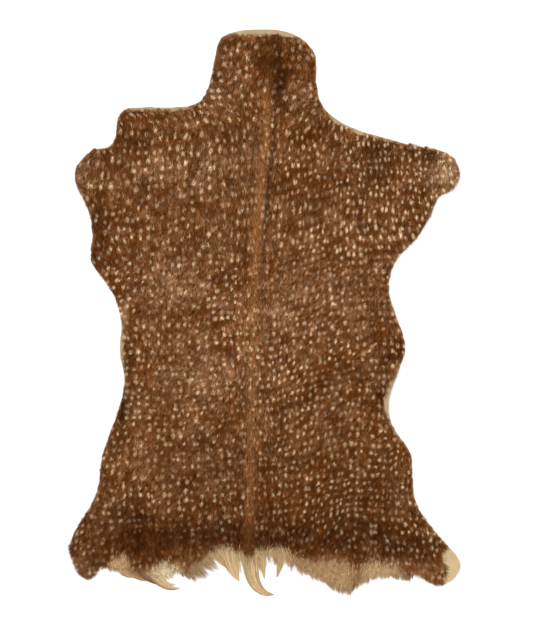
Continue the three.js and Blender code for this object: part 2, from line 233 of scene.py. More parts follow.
# Where the brown is greyer.
GREYS = (
    Patch("left shoulder", -150, 236, 90, 44, 0, 1.2),
    Patch("left side", -150, 60, 90, 70, 0, 1.1),
    Patch("left belly", -110, -110, 80, 60, 0, 0.9),
    Patch("middle of the back", 20, 10, 80, 40, 0, 0.6),
    Patch("left hind", -110, -260, 90, 60, 0, 0.6),
    Patch("behind the neck", -30, 270, 60, 40, 0, 0.7),
    Patch("right belly, front", 170, 30, 60, 40, 0, 0.6),
    Patch("right paw", 300, 232, 40, 46, 0, 3.4),
    Patch("left paw", -296, 240, 30, 40, 0, 1.0),
    Patch("left toe", -292, -420, 34, 34, 0, 1.6),
    Patch("right toe", 256, -430, 40, 24, 0, 1.0),
    Patch("right thigh", 60, -210, 60, 40, 0, 0.3),
    Patch("neck whorl", 4, 404, 56, 36, 90, -1.2),
)

# Where the fawn spots fade.
FADES = (
    Patch("neck whorl", 4, 406, 62, 30, 90, 1.0),
    Patch("rump, left", -190, -380, 130, 60, 0, 0.9),
    Patch("rump, middle", 0, -386, 120, 40, 0, 0.85),
    Patch("rump, right", 150, -396, 90, 22, 0, 0.6),
    Patch("right toe", 262, -432, 44, 26, 0, 0.5),
    Patch("left toe", -296, -428, 34, 40, 0, 0.3),
    Patch("spine", -8, 90, 270, 9, 92, 0.7),
    Patch("spine, rear", -24, -260, 190, 9, 91, 0.6),
    Patch("crown", 0, 452, 60, 9, 0, 0.4),
)

# Where the hair hangs past the cut edge.
OVERHANG = (
    Patch("left toe", -292, -432, 34, 26, 0, 10),
    Patch("left hind corner", -325, -388, 14, 14, 0, 8),
    Patch("right toe", 266, -440, 30, 14, 0, 6),
    Patch("first tuft of the right leg", 244, 278, 9, 9, 0, 8),
    Patch("second tuft of the right leg", 271, 271, 9, 9, 0, 7),
    Patch("left paw", -287, 273, 9, 9, 0, 5),
    Patch("left leg", -252, 292, 12, 12, 0, 3),
)

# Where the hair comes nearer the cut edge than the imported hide's hair line, or stays farther from it.
COVERED = (
    Patch("right flank", 204, -134, 46, 15, 78, -5),
    Patch("left flank", -240, -52, 52, 12, 90, -4),
    Patch("left flank, behind it", -236, -98, 26, 10, 90, -2.5),
    Patch("right corner of the crown", 74, 440, 26, 16, -60, 5),
    Patch("left corner of the crown", -76, 436, 16, 10, 60, 1.5),
    Patch("right shoulder", 150, 290, 90, 20, -18, 1.2),
    Patch("right leg", 225, 284, 40, 12, -14, 1.5),
    Patch("crown, left", -52, 458, 30, 8, 0, 1.6),
    Patch("crown, right", 40, 458, 30, 8, 0, 1),
)

# The pale strip along the spine, front to rear: y, x, and how clear it is there.
SPINE = ((420, 6, 0.1), (359, 2, 0.6), (268, 1, 0.9), (205, -8, 1.0), (95, -15, 1.0), (-30, -20, 0.55),
         (-144, -22, 0.6), (-317, -26, 0.75), (-372, -28, 0.3), (-420, -28, 0.0))

# The line where the dark coat ends and blond hair shows, left to right: x, y.
BLOND_LINE = ((-262, -424), (-252, -407), (-235, -402), (-225, -406), (-221, -418), (-208, -429),
              (-195, -424), (-184, -418), (-164, -416), (-147, -413), (-134, -419), (-128, -427),
              (-124, -418), (-100, -402), (-85, -392), (-68, -386), (-57, -389), (-42, -394),
              (-28, -407), (-13, -392), (2, -389), (21, -386), (36, -388), (44, -399), (61, -406),
              (80, -410), (98, -409), (115, -407), (133, -411), (145, -421), (154, -428), (160, -416),
              (174, -411), (203, -415), (216, -417), (226, -425), (236, -436), (262, -460))

# The shade of the long hair along the rear edge, left to right, each from its own x.
HEM_SHADES = (
    (-262, Shade.FAWN), (-246, Shade.BLOND), (-230, Shade.TAN), (-214, Shade.DARK), (-200, Shade.DARK),
    (-184, Shade.CREAM), (-162, Shade.WHITE), (-146, Shade.CREAM), (-134, Shade.BROWN),
    (-104, Shade.FAWN), (-84, Shade.BLOND), (-58, Shade.CREAM), (-30, Shade.CREAM), (20, Shade.BLOND),
    (48, Shade.TAN), (134, Shade.TAN), (152, Shade.BROWN), (170, Shade.BLOND), (206, Shade.BLOND),
    (220, Shade.TAN), (234, Shade.BROWN), (256, Shade.DARK),
)

# The rows of hair at the rear edge, left to right, and how much each gathers into locks.
HEM_HAIR = (
    Lock("left flap, first hair", -268, 4, 0, 10, 0.5),
    Lock("left flap, outer end", -258, 9, 10, 10, 0.5),
    Lock("left flap", -238, 13, 30, 20, 0.3),
    Lock("left flap, middle", -222, 17, 42, 22, 0.4),
    Lock("left flap, inner", -206, 19, 46, 24, 0.4),
    Lock("left flap tip", -190, 16, 40, 30, 0.4),
    Lock("before the hook", -178, 14, 34, 34, 0.4),
    Lock("inside the hook", -164, 17, 34, 44, 0.5),
    Lock("left flap dip", -150, 9, 8, 6, 0.5),
    Lock("left tuft, outer", -134, 13, 20, 20, 0.6),
    Lock("left tuft", -118, 24, 34, 30, 0.7),
    Lock("left tuft, inner", -100, 30, 36, 34, 0.8),
    Lock("beside the left tuft", -90, 16, 30, 26, 0.7),
    Lock("tail, left", -80, 22, 24, 16, 0.6),
    Lock("tail, left dip", -66, 28, 18, 16, 0.5),
    Lock("tail, left tuft", -54, 30, 14, 16, 0.4),
    Lock("beside the claw", -46, 30, 10, 8, 0.4),
    Lock("behind the claw", -28, 24, 8, 6, 0.3),
    Lock("inside the claw", -6, 26, 10, 16, 0.4),
    Lock("tail, right dip", 6, 19, 8, 12, 0.6),
    Lock("tail, right", 26, 26, -6, -8, 0.6),
    Lock("beside the right lock", 38, 24, 8, 6, 0.7),
    Lock("right flap, root", 60, 19, 18, 12, 0.5),
    Lock("right flap, inner", 92, 19, 24, 10, 0.15),
    Lock("right flap, before the tip", 112, 20, 12, 4, 0.1),
    Lock("right flap, tip", 130, 16, 6, -4, 0.1),
    Lock("right flap, rising", 147, 19, -8, -6, 0.15),
    Lock("right flap, behind the tip", 170, 14, -8, 2, 0.25),
    Lock("right flap, outer", 205, 12, 6, 10, 0.3),
    Lock("right flap, outer end", 234, 12, 6, 10, 0.7),
    Lock("right flap, last hair", 247, 4, 0, 6, 0.7),
)

# The locks that stand out of those rows.
BIG_LOCKS = {
    Hem.LEFT: (
        Lock("first sweep of the left flap", -238, 26, 44, 26, 0, 14, 3),
        Lock("second sweep", -222, 35, 50, 28, 0, 14, 3),
        Lock("third sweep", -205, 46, 50, 40, 0, 14, 3.2),
        Lock("hook", -187, 54, 44, 62, 0, 13, 4),
        Lock("inside the hook", -176, 34, 40, 70, 0, 7, 3),
    ),
    Hem.TAIL: (
        Lock("first silky lock", -80, 34, 24, 16, 0, 17, 4),
        Lock("second silky lock", -60, 56, 8, 30, 0, 28, 4.5),
        Lock("the claw", -25, 82, 2, 97, 0, 24, 6),
        Lock("inside the claw", -5, 43, 2, 8, 0, 10, 4),
        Lock("right tail lock", 26, 46, -4, -16, 0, 12, 4.5),
    ),
    Hem.RIGHT: (),
}


def smooth(low: float, high: float, values: np.ndarray) -> np.ndarray:
    """Soft step of each value, from 0 at low to 1 at high."""
    share = np.clip((values - low) / (high - low), 0.0, 1.0)
    return share * share * (3.0 - 2.0 * share)


def waver(x: np.ndarray, y: np.ndarray, size: float, seed: int) -> np.ndarray:
    """Soft random unevenness over the rug.

    Args:
        x: Places across the rug.
        y: Places along the rug.
        size: How far apart its rises are.
        seed: Which of many patterns.

    Returns:
        Numbers from -1 to 1.
    """
    table = np.random.default_rng(seed).uniform(-1.0, 1.0, (128, 128))
    u, v = x / size, y / size
    i, j = np.floor(u).astype(int), np.floor(v).astype(int)
    fu, fv = smooth(0, 1, u - i), smooth(0, 1, v - j)
    near = table[i & 127, j & 127] * (1 - fu) + table[(i + 1) & 127, j & 127] * fu
    far = table[i & 127, (j + 1) & 127] * (1 - fu) + table[(i + 1) & 127, (j + 1) & 127] * fu
    return near * (1 - fv) + far * fv


def wavers(x: np.ndarray, y: np.ndarray, waves: tuple[Wave, ...]) -> np.ndarray:
    """Sum of wavers, each with its strength, its size and its seed."""
    return sum(gain * waver(x, y, size, seed) for gain, size, seed in waves)


class Chart:
    """A grid of numbers over the rug's plan, read smoothly between its points."""

    def __init__(self, values: np.ndarray, low: tuple[float, float], step: float) -> None:
        """Keep a grid.

        Args:
            values: The numbers, first along x, then along y.
            low: The place of the first number.
            step: The distance between two numbers.
        """
        self.values = values
        self.low = low
        self.step = step

    def at(self, x: np.ndarray, y: np.ndarray) -> np.ndarray:
        """Read the chart.

        Args:
            x: Places across the rug.
            y: Places along the rug.

        Returns:
            The chart's number at each place.
        """
        columns, lines = self.values.shape
        u = np.clip((x - self.low[0]) / self.step, 0, columns - 1.001)
        v = np.clip((y - self.low[1]) / self.step, 0, lines - 1.001)
        i, j = u.astype(int), v.astype(int)
        fu, fv = u - i, v - j
        grid = self.values
        near = grid[i, j] * (1 - fu) + grid[i + 1, j] * fu
        far = grid[i, j + 1] * (1 - fu) + grid[i + 1, j + 1] * fu
        return near * (1 - fv) + far * fv

    def slope(self, x: np.ndarray, y: np.ndarray) -> tuple[np.ndarray, np.ndarray]:
        """How fast the chart's number grows across and along the rug.

        Args:
            x: Places across the rug.
            y: Places along the rug.

        Returns:
            The two slopes at each place.
        """
        reach = self.step
        across = (self.at(x + reach, y) - self.at(x - reach, y)) / (2 * reach)
        along = (self.at(x, y + reach) - self.at(x, y - reach)) / (2 * reach)
        return across, along


@dataclass
class HidePlan:
    """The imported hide's plan: its cut edge, its hair line and the heights of its faces."""

    node: str = "hide"
    step: float = 2.0
    margin: float = 40.0
    leather: float = 1.4
    least_pile: float = 0.4
    rear_from: float = -372.0
    edge_width: float = 4.0
    ray_above: float = 60.0
    ray_below: float = -20.0
    settles_over: float = 9.0
    on_floor: float = 0.2
    edge: Chart = field(init=False)
    coat: Chart = field(init=False)
    under: Chart = field(init=False)
    pile: Chart = field(init=False)
    hem_x: np.ndarray = field(init=False)
    hem_y: np.ndarray = field(init=False)

    def __post_init__(self) -> None:
        """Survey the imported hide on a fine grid."""
        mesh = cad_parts[self.node].data
        places = np.array([v.co for v in mesh.vertices], float) / MM
        faces = [tuple(polygon.vertices) for polygon in mesh.polygons]
        low = np.floor(places.min(0)[:2] - self.margin)
        high = np.ceil(places.max(0)[:2] + self.margin)
        self.low = (float(low[0]), float(low[1]))
        self.x = np.arange(low[0], high[0], self.step)
        self.y = np.arange(low[1], high[1], self.step)
        top, bottom, hit = self._heights(BVHTree.FromPolygons(places.tolist(), faces))
        grid_x, grid_y = np.meshgrid(self.x, self.y, indexing="ij")
        outline, outward = self._outline(places, faces)
        rear = outline[:, 1] < self.rear_from
        order = np.argsort(outline[rear, 0])
        self.hem_x, self.hem_y = outline[rear][order, 0], outline[rear][order, 1]
        distance, nearest = self._nearest(grid_x, grid_y, outline)
        away = (grid_x - outline[nearest, 0]) * outward[nearest, 0]
        away += (grid_y - outline[nearest, 1]) * outward[nearest, 1]
        outside = np.where(distance < self.edge_width, away > 0, ~hit)
        self.edge = self._chart(np.where(outside, distance, -distance))
        haired = hit & (top - bottom > self.leather + self.least_pile)
        rim = self._rim(haired, grid_x, grid_y)
        to_rim, _ = self._nearest(grid_x, grid_y, rim)
        self.coat = self._chart(self._soften(np.where(haired, -to_rim, to_rim), 2))
        self.under = self._chart(self._soften(self._spread(bottom, hit), 4))
        pile = self._spread(top - bottom - self.leather, haired)
        self.pile = self._chart(self._soften(pile, 6))

    def _chart(self, values: np.ndarray) -> Chart:
        """A chart on this plan's grid."""
        return Chart(values, self.low, self.step)

    def _heights(self, tree: BVHTree) -> tuple[np.ndarray, np.ndarray, np.ndarray]:
        """Height of the hide's upper and lower faces over the grid.

        Args:
            tree: The hide's faces.

        Returns:
            The upper heights, the lower heights and where the hide is.
        """
        shape = (len(self.x), len(self.y))
        top, bottom, hit = np.zeros(shape), np.zeros(shape), np.zeros(shape, bool)
        down, up = Vector((0, 0, -1)), Vector((0, 0, 1))
        for i, x in enumerate(self.x):
            for j, y in enumerate(self.y):
                upper = tree.ray_cast(Vector((x, y, self.ray_above)), down)[0]
                if upper is None:
                    continue
                lower = tree.ray_cast(Vector((x, y, self.ray_below)), up)[0]
                if lower is None:
                    continue
                top[i, j], bottom[i, j], hit[i, j] = upper.z, lower.z, True
        return top, bottom, hit

    @staticmethod
    def _outline(places: np.ndarray, faces: list[tuple[int, ...]]) -> tuple[np.ndarray, np.ndarray]:
        """The rim of the lower faces, as a softly rounded closed row of points.

        Args:
            places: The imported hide's corners.
            faces: Its faces.

        Returns:
            The points, two millimetres apart, and the outward direction at each.
        """
        keys, same = np.unique(np.round(places, 3), axis=0, return_inverse=True)
        same = same.ravel()
        sides: set[tuple[int, int]] = set()
        for face in faces:
            a, b, c = (places[i] for i in face[:3])
            across = np.cross(b - a, c - a)
            if across[2] > -0.5 * np.linalg.norm(across):
                continue
            ring = [int(same[i]) for i in face]
            sides.update(zip(ring, ring[1:] + ring[:1]))
        follows = {a: b for a, b in sides if (b, a) not in sides}
        first = min(follows)
        loop = [first]
        while follows[loop[-1]] != first:
            loop.append(follows[loop[-1]])
        ring = keys[loop][:, :2]
        if np.sum(ring[:, 0] * np.roll(ring[:, 1], -1) - np.roll(ring[:, 0], -1) * ring[:, 1]) < 0:
            ring = ring[::-1]
        closed = np.vstack([ring, ring[:1]])
        walked = np.concatenate([[0], np.cumsum(np.linalg.norm(np.diff(closed, axis=0), axis=1))])
        count = int(walked[-1] / 2)
        at = np.linspace(0, walked[-1], count, endpoint=False)
        even = np.column_stack([np.interp(at, walked, closed[:, k]) for k in (0, 1)])
        for _ in range(3):
            even = 0.25 * np.roll(even, 1, 0) + 0.5 * even + 0.25 * np.roll(even, -1, 0)
        along = np.roll(even, -1, 0) - np.roll(even, 1, 0)
        along /= np.linalg.norm(along, axis=1)[:, None]
        return even, np.column_stack([along[:, 1], -along[:, 0]])

    @staticmethod
    def _nearest(x: np.ndarray, y: np.ndarray, points: np.ndarray) -> tuple[np.ndarray, np.ndarray]:
        """Distance from each grid point to the nearest of some points.

        Args:
            x: The grid's places across.
            y: The grid's places along.
            points: The points to measure to.

        Returns:
            The distances, and which point is nearest.
        """
        distance = np.empty(x.shape)
        nearest = np.empty(x.shape, int)
        for i in range(x.shape[0]):
            squared = (x[i][:, None] - points[None, :, 0]) ** 2 + (y[i][:, None] - points[None, :, 1]) ** 2
            nearest[i] = squared.argmin(1)
            distance[i] = np.sqrt(squared.min(1))
        return distance, nearest

    @staticmethod
    def _rim(inside: np.ndarray, x: np.ndarray, y: np.ndarray) -> np.ndarray:
        """Points halfway between neighbours of which one is inside and one is not.

        Args:
            inside: Which grid points are inside.
            x: The grid's places across.
            y: The grid's places along.

        Returns:
            The points.
        """
        across = inside[1:] != inside[:-1]
        along = inside[:, 1:] != inside[:, :-1]
        first = np.column_stack([(x[1:] + x[:-1])[across] / 2, y[1:][across]])
        second = np.column_stack([x[:, 1:][along], (y[:, 1:] + y[:, :-1])[along] / 2])
        return np.vstack([first, second])

    @staticmethod
    def _spread(values: np.ndarray, known: np.ndarray, rounds: int = 24) -> np.ndarray:
        """Fill the unknown points from their known neighbours, ring by ring.

        Args:
            values: The numbers, of which only the known ones count.
            known: Which are known.
            rounds: How many rings are filled.

        Returns:
            The grid, with every number within reach filled.
        """
        values, known = np.where(known, values, 0.0), known.astype(float)
        for _ in range(rounds):
            total, count = np.zeros_like(values), np.zeros_like(values)
            for shift, axis in ((1, 0), (-1, 0), (1, 1), (-1, 1)):
                total += np.roll(values * known, shift, axis)
                count += np.roll(known, shift, axis)
            fresh = (known == 0) & (count > 0)
            values[fresh] = total[fresh] / count[fresh]
            known[fresh] = 1.0
        return values

    @staticmethod
    def _soften(values: np.ndarray, rounds: int) -> np.ndarray:
        """Blur a grid a little.

        Args:
            values: The grid.
            rounds: How many times it is blurred.

        Returns:
            The blurred grid.
        """
        for _ in range(rounds):
            for axis in (0, 1):
                values = 0.25 * np.roll(values, 1, axis) + 0.5 * values + 0.25 * np.roll(values, -1, axis)
        return values

    def ground(self, x: np.ndarray, y: np.ndarray) -> np.ndarray:
        """Height of what hair lies on: the leather's upper face, and the floor a little past its edge."""
        past = smooth(0, self.settles_over, self.edge.at(x, y))
        return (self.under.at(x, y) + self.leather) * (1 - past) + self.on_floor * past

    def hem(self, x: np.ndarray) -> np.ndarray:
        """The y of the cut rear edge at each x."""
        return np.interp(x, self.hem_x, self.hem_y)


@dataclass(frozen=True)
class HairFlow:
    """Which way the hair lies at each place."""

    pull_back: float = 0.02
    swirls: tuple[Wave, ...] = ((7, 34, 11), (9, 13, 12), (8, 6, 13))

    def lean(self, x: np.ndarray, y: np.ndarray) -> np.ndarray:
        """Degrees to the right of straight back.

        Args:
            x: Places across the rug.
            y: Places along the rug.

        Returns:
            The lean at each place.
        """
        total, weight = np.zeros_like(x), np.full_like(x, self.pull_back)
        for patch in FLOW:
            near = patch.at(x, y) / patch.gain
            total += near * patch.gain
            weight += near
        return total / weight + wavers(x, y, self.swirls)


@dataclass(frozen=True)
class CoatPattern:
    """The coat's colours: brown with fawn spots, a pale spine, and blond at the rear."""

    brown: Colour = (0.144, 0.041, 0.0058)
    pale: Colour = (0.58, 0.38, 0.215)
    spine: Colour = (0.38, 0.16, 0.048)
    row_pitch: float = 12.4
    column_pitch: float = 10.4
    furrow: float = 0.1
    greying: tuple[Wave, ...] = ((0.4, 40, 43), (0.7, 15, 44))
    mottle: tuple[Wave, ...] = ((0.23, 30, 45), (0.34, 11, 46), (0.34, 4.2, 47), (0.2, 2.2, 48))
    darkest: float = 0.12
    lightest: float = 2.4

    def lattice(self, x: np.ndarray, y: np.ndarray) -> tuple[np.ndarray, np.ndarray]:
        """Place on the lattice of the fawn spots, which stand in soft rows and columns.

        Args:
            x: Places across the rug.
            y: Places along the rug.

        Returns:
            The column and the row, with one spot to each whole step of both.
        """
        rise = 0.3 * np.clip(x - 10, 0, 130) * smooth(360, 120, y) - 0.1 * np.maximum(-x, 0)
        spaced = 0.22 * np.clip(y - 110, 0, 200) + 0.1 * np.maximum(y - 310, 0)
        out = x + 0.14 * np.maximum(-x - 60, 0) - 0.04 * np.maximum(x - 100, 0)
        out = out + 0.15 * np.clip(x - 90, 0, 200) * smooth(60, 150, y)
        out = out * (1 - 0.2 * smooth(300, 370, y))
        column = out / self.column_pitch + 0.5 * waver(x, y, 70, 21) + 0.09 * waver(x, y, 24, 22)
        row = (y - spaced - rise) / self.row_pitch + 0.5 * waver(x, y, 66, 23) + 0.09 * waver(x, y, 22, 24)
        return column + 60, row + 60

    def base(self, x: np.ndarray, y: np.ndarray, rng: np.random.Generator) -> tuple[np.ndarray, np.ndarray]:
        """The coat's brown without its spots.

        Args:
            x: Places across the rug.
            y: Places along the rug.
            rng: Source of the unevenness from hair to hair.

        Returns:
            Linear colours, one row each, and how light the coat is there.
        """
        cool = laid(GREYS, x, y) + wavers(x, y, self.greying)
        share = 0.05 + 0.09 * np.clip(cool, -0.6, 4) + 0.05 * waver(x, y, 5, 42) + rng.normal(0, 0.05, len(x))
        tone = np.exp(wavers(x, y, self.mottle))
        between = np.cos(2 * math.pi * (self.lattice(x, y)[1] - 0.25)) * (0.2 + 0.8 * smooth(-20, 60, x))
        tone *= 1 + self.furrow * between * smooth(-360, -320, y) * smooth(260, 180, y)
        for patch in TONES:
            tone *= 1 + patch.at(x, y)
        tone = np.clip(tone, self.darkest, self.lightest)
        above = np.maximum(tone - 1, 0)
        share = np.clip(share + 0.1 * above, 0, 0.5)[:, None]
        colour = np.array(self.brown) * (1 - share) + np.array(self.pale) * share
        colour *= np.minimum(tone, 1)[:, None] ** np.array([0, 0.2, 0.42])
        return self._with_spine(colour * (tone - 0.4 * above)[:, None], x, y), tone

    def hairs(self, paths: np.ndarray, bared: np.ndarray,
              rng: np.random.Generator) -> tuple[np.ndarray, np.ndarray]:
        """Colour and place among the spots of each hair at every point from root to tip.

        Args:
            paths: The hairs' points.
            bared: How far each hair's root is laid bare at the hair line, from 0 to 1, which lifts its
                painted root shade.
            rng: Source of the unevenness from hair to hair.

        Returns:
            Linear colours with the brightness of a spot there, and the spots' column, row and strength.
        """
        count, rings, _ = paths.shape
        far = paths[:, -1] * 0.6 + paths[:, -2] * 0.4
        x, y = far[:, 0], far[:, 1]
        colour, tone = self.base(x, y, rng)
        uneven = np.exp(rng.normal(-0.02, 0.34, count))[:, None]
        # Each hair is painted dark at the root and a little lighter at the tip: partly the hair's own darker
        # roots, partly painted shade deep in the pile. Where the hair line leaves the roots open, the painted
        # shade is lifted.
        shade = np.interp(np.linspace(0, 1, rings), [0, 0.45, 1], [0.3, 0.88, 1.12])[None, :, None]
        shade = shade + np.maximum(1.05 - shade, 0) * bared[:, None, None]
        blond = self._blond(paths[:, :, 0], paths[:, :, 1] + rng.normal(0, 4.6, count)[:, None])[:, :, None]
        pale = (hem_colour(x + rng.normal(0, 4, count)) * uneven)[:, None, :] * np.maximum(shade, 0.45)
        made = np.ones((count, rings, 4))
        made[:, :, :3] = np.clip((colour * uneven)[:, None, :] * shade * (1 - blond) + pale * blond, 0, 1)
        bright = np.clip(0.3 + 0.7 * tone, 0.35, 1.15)[:, None] * uneven ** 0.5
        made[:, :, 3] = np.clip(bright * np.minimum(1.05, 0.25 + shade[:, :, 0]), 0, 1.2)
        column, row = self.lattice(paths[:, :, 0], paths[:, :, 1])
        drawn = 0.65 * smooth(50, 150, y) * (0.4 + 0.6 * smooth(30, 120, x)) * smooth(380, 320, y)
        row = row + drawn[:, None] * (row[:, rings // 2][:, None] - row)
        fade = np.clip(1 - laid(FADES, x, y), 0, 1)
        clear = 0.42 * smooth(40, 160, y) * smooth(60, 140, x)
        clear = clear - 0.1 * smooth(130, 200, y) * smooth(-80, -130, x)
        clear = 0.82 + clear + 0.3 * waver(x, y, 60, 25) + 0.2 * waver(x, y, 16, 26)
        force = fade * clear * rng.uniform(0.5, 1.1, count)
        places = np.empty((count, rings, 3))
        places[:, :, 0] = column + rng.normal(0, 0.045, count)[:, None]
        places[:, :, 1] = row + rng.normal(0, 0.1, count)[:, None]
        places[:, :, 2] = force[:, None] * (1 - blond[:, :, 0])
        return made, places

    def _with_spine(self, colour: np.ndarray, x: np.ndarray, y: np.ndarray) -> np.ndarray:
        """Lay the pale strip and the thin dark line beside it over the coat.

        Args:
            colour: The coat's colours so far.
            x: Places across the rug.
            y: Places along the rug.

        Returns:
            The colours with the spine.
        """
        rows = np.array(SPINE[::-1], float)
        middle = np.interp(y, rows[:, 0], rows[:, 1]) + 1.6 * waver(x, y, 30, 51)
        clear = np.interp(y, rows[:, 0], rows[:, 2])
        off = x - middle
        strip = (0.62 * clear * np.exp(-((off / 8.5) ** 2)))[:, None]
        line = np.interp(y, [-30, 60, 170, 330, 390], [0, 0.36, 0.7, 0.6, 0.1])
        line = line * np.exp(-(((off - 11) / 4.6) ** 2))
        colour = colour * (1 - line)[:, None]
        return colour * (1 - strip) + np.array(self.spine) * strip

    @staticmethod
    def _blond(x: np.ndarray, y: np.ndarray) -> np.ndarray:
        """Where the dark coat has given way to the long hair's colours, from 0, dark, to 1, blond."""
        ends = dark_end(x) + wavers(x, y, ((4, 7, 61), (2.4, 3, 62)))
        return smooth(-1.5, 1.5, ends - y) * smooth(-266, -258, x) * smooth(262, 250, x)


def dark_end(x: np.ndarray) -> np.ndarray:
    """The y where the dark coat ends at each x."""
    return np.interp(x, *np.array(BLOND_LINE, float).T)


def hem_colour(x: np.ndarray) -> np.ndarray:
    """Linear colour of the long hair at each x of the rear edge, one row each."""
    places, shades = zip(*HEM_SHADES)
    return np.column_stack([np.interp(x, places, part) for part in zip(*(shade.value for shade in shades))])


class NodeWeb:
    """A node material in the making."""

    def __init__(self, name: str) -> None:
        """Start a material with its shader.

        Args:
            name: The finish's name.
        """
        self.material = bpy.data.materials.new(name)
        self.material.use_nodes = True
        self.shader = self.material.node_tree.nodes["Principled BSDF"]

    def feed(self, node: bpy.types.Node, inputs: dict[str | int, object]) -> None:
        """Set or link a node's inputs.

        Args:
            node: The node.
            inputs: The name or number of each input, with its value or the output that feeds it.
        """
        for name, value in inputs.items():
            if isinstance(value, bpy.types.NodeSocket):
                self.material.node_tree.links.new(value, node.inputs[name])
            else:
                node.inputs[name].default_value = value

    def add(self, kind: str, inputs: dict[str | int, object], **settings: str) -> bpy.types.Node:
        """Add a node.

        Args:
            kind: Its kind.
            inputs: Its inputs, as feed takes them.
            settings: Its other settings.

        Returns:
            The node.
        """
        made = self.material.node_tree.nodes.new("ShaderNode" + kind)
        for name, value in settings.items():
            setattr(made, name, value)
        self.feed(made, inputs)
        return made

    def combine(self, kind: str, first: bpy.types.NodeSocket,
                second: bpy.types.NodeSocket) -> bpy.types.NodeSocket:
        """Two numbers put together in the way that kind names."""
        return self.add("Math", {0: first, 1: second}, operation=kind).outputs["Value"]

    def carry(self, value: bpy.types.NodeSocket, given: tuple[float, float],
              wanted: tuple[float, float]) -> bpy.types.NodeSocket:
        """A number carried over from one stretch of numbers to another."""
        ends = zip(("From Min", "From Max", "To Min", "To Max"), (*given, *wanted))
        return self.add("MapRange", {"Value": value, **dict(ends)}).outputs["Result"]


@dataclass(frozen=True)
class HairFinish:
    """Hair: its colour from root to tip with painted shade at the root, fine streaks, fawn spots where it has
    them, and a soft gloss.
    """

    name: str
    roughness: float
    gloss: float
    streak: float
    spotted: bool = False
    streak_scale: float = 620.0
    uneven_gloss: float = 0.08
    fawn: Colour = (0.87, 0.62, 0.355)
    least_spot: float = 0.162
    widest_spot: float = 0.25
    scatter: float = 0.68
    soft_rim: tuple[float, float] = (1.45, 0.55)
    chances: tuple[float, float] = (0.02, 0.92)
    strengths: tuple[float, float] = (0.18, 1.2)

    def material(self) -> bpy.types.Material:
        """Make the finish.

        Returns:
            The node material.
        """
        web = NodeWeb(self.name)
        # The hair's colour, with its painted root shade.
        own = web.add("Attribute", {}, attribute_name="hair_colour_and_painted_shade")
        place = web.add("TexCoord", {}).outputs["Object"]
        fine = {"Vector": place, "Scale": self.streak_scale, "Detail": 3.0}
        streaks = web.add("TexNoise", fine).outputs["Fac"]
        spread = web.carry(streaks, (0, 1), (1.0 - self.streak, 1.0 + self.streak))
        ends = (self.roughness - self.uneven_gloss, self.roughness + self.uneven_gloss)
        dull = web.carry(streaks, (0, 1), ends)
        colour = self._spots(web, own) if self.spotted else own.outputs["Color"]
        mixed = web.add("VectorMath", {0: colour, "Scale": spread}, operation="SCALE").outputs["Vector"]
        web.feed(web.shader, {"Base Color": mixed, "Roughness": dull, "Specular IOR Level": self.gloss})
        return web.material

    def _spots(self, web: NodeWeb, own: bpy.types.Node) -> bpy.types.NodeSocket:
        """Lay a fawn spot near each point of the spots' lattice over the hair's colour, which carries its
        painted root shade.

        Args:
            web: The material in the making.
            own: The hair's colour, with its painted root shade.

        Returns:
            The colour with the spots.
        """
        lattice = web.add("Attribute", {}, attribute_name="spot_place").outputs["Vector"]
        spread = {"Vector": lattice, "Scale": 1.0, "Randomness": self.scatter}
        cells = web.add("TexVoronoi", spread, voronoi_dimensions="2D")
        chance = web.add("SeparateColor", {"Color": cells.outputs["Color"]})
        size = web.carry(chance.outputs["Red"], (0, 1), (self.least_spot, self.widest_spot))
        strength = web.carry(chance.outputs["Green"], self.chances, self.strengths)
        inside = web.carry(web.combine("DIVIDE", cells.outputs["Distance"], size), self.soft_rim, (0, 1))
        clear = web.add("SeparateXYZ", {"Vector": lattice}).outputs["Z"]
        share = web.combine("MULTIPLY", inside, web.combine("MULTIPLY", strength, clear))
        fawn = web.add("VectorMath", {0: self.fawn, "Scale": own.outputs["Alpha"]}, operation="SCALE")
        colours = {0: share, 6: own.outputs["Color"], 7: fawn.outputs["Vector"]}
        return web.add("Mix", colours, data_type="RGBA").outputs[2]


@dataclass(frozen=True)
class LeatherFinish:
    """Tanned leather: mottled colour, fine grain and a matt face."""

    name: str
    light: Colour
    dark: Colour
    roughness: float
    grain: float
    nap: float
    gloss: float = 0.3
    darkened: bool = False
    cloud_scale: float = 26.0
    pore_scale: float = 700.0
    crease_scale: float = 160.0
    grain_depth: float = 0.0006

    def material(self) -> bpy.types.Material:
        """Make the finish.

        Returns:
            The node material.
        """
        web = NodeWeb(self.name)
        place = web.add("TexCoord", {}).outputs["Object"]
        mottled = {"Vector": place, "Scale": self.cloud_scale, "Detail": 6.0, "Roughness": 0.62}
        ramp = web.add("ValToRGB", {"Fac": web.add("TexNoise", mottled).outputs["Fac"]})
        for stop, position, colour in zip(ramp.color_ramp.elements, (0.32, 0.66), (self.dark, self.light)):
            stop.position, stop.color = position, (*colour, 1)
        pores = web.add("TexVoronoi", {"Vector": place, "Scale": self.pore_scale})
        creases = web.add("TexNoise", {"Vector": place, "Scale": self.crease_scale, "Detail": 5.0})
        relief = web.combine("ADD", pores.outputs["Distance"], creases.outputs["Fac"])
        bump = web.add("Bump", {"Height": relief, "Strength": self.grain, "Distance": self.grain_depth})
        shown = ramp.outputs["Color"]
        # Darker everywhere but at the pale hind corner, as the skin sets it.
        if self.darkened:
            age = web.add("Attribute", {}, attribute_name="age").outputs["Color"]
            shown = web.add("VectorMath", {0: shown, 1: age}, operation="MULTIPLY").outputs["Vector"]
        web.feed(web.shader, {
            "Base Color": shown, "Normal": bump.outputs["Normal"], "Roughness": self.roughness,
            "Specular IOR Level": self.gloss, "Sheen Weight": self.nap, "Sheen Roughness": 0.6})
        return web.material


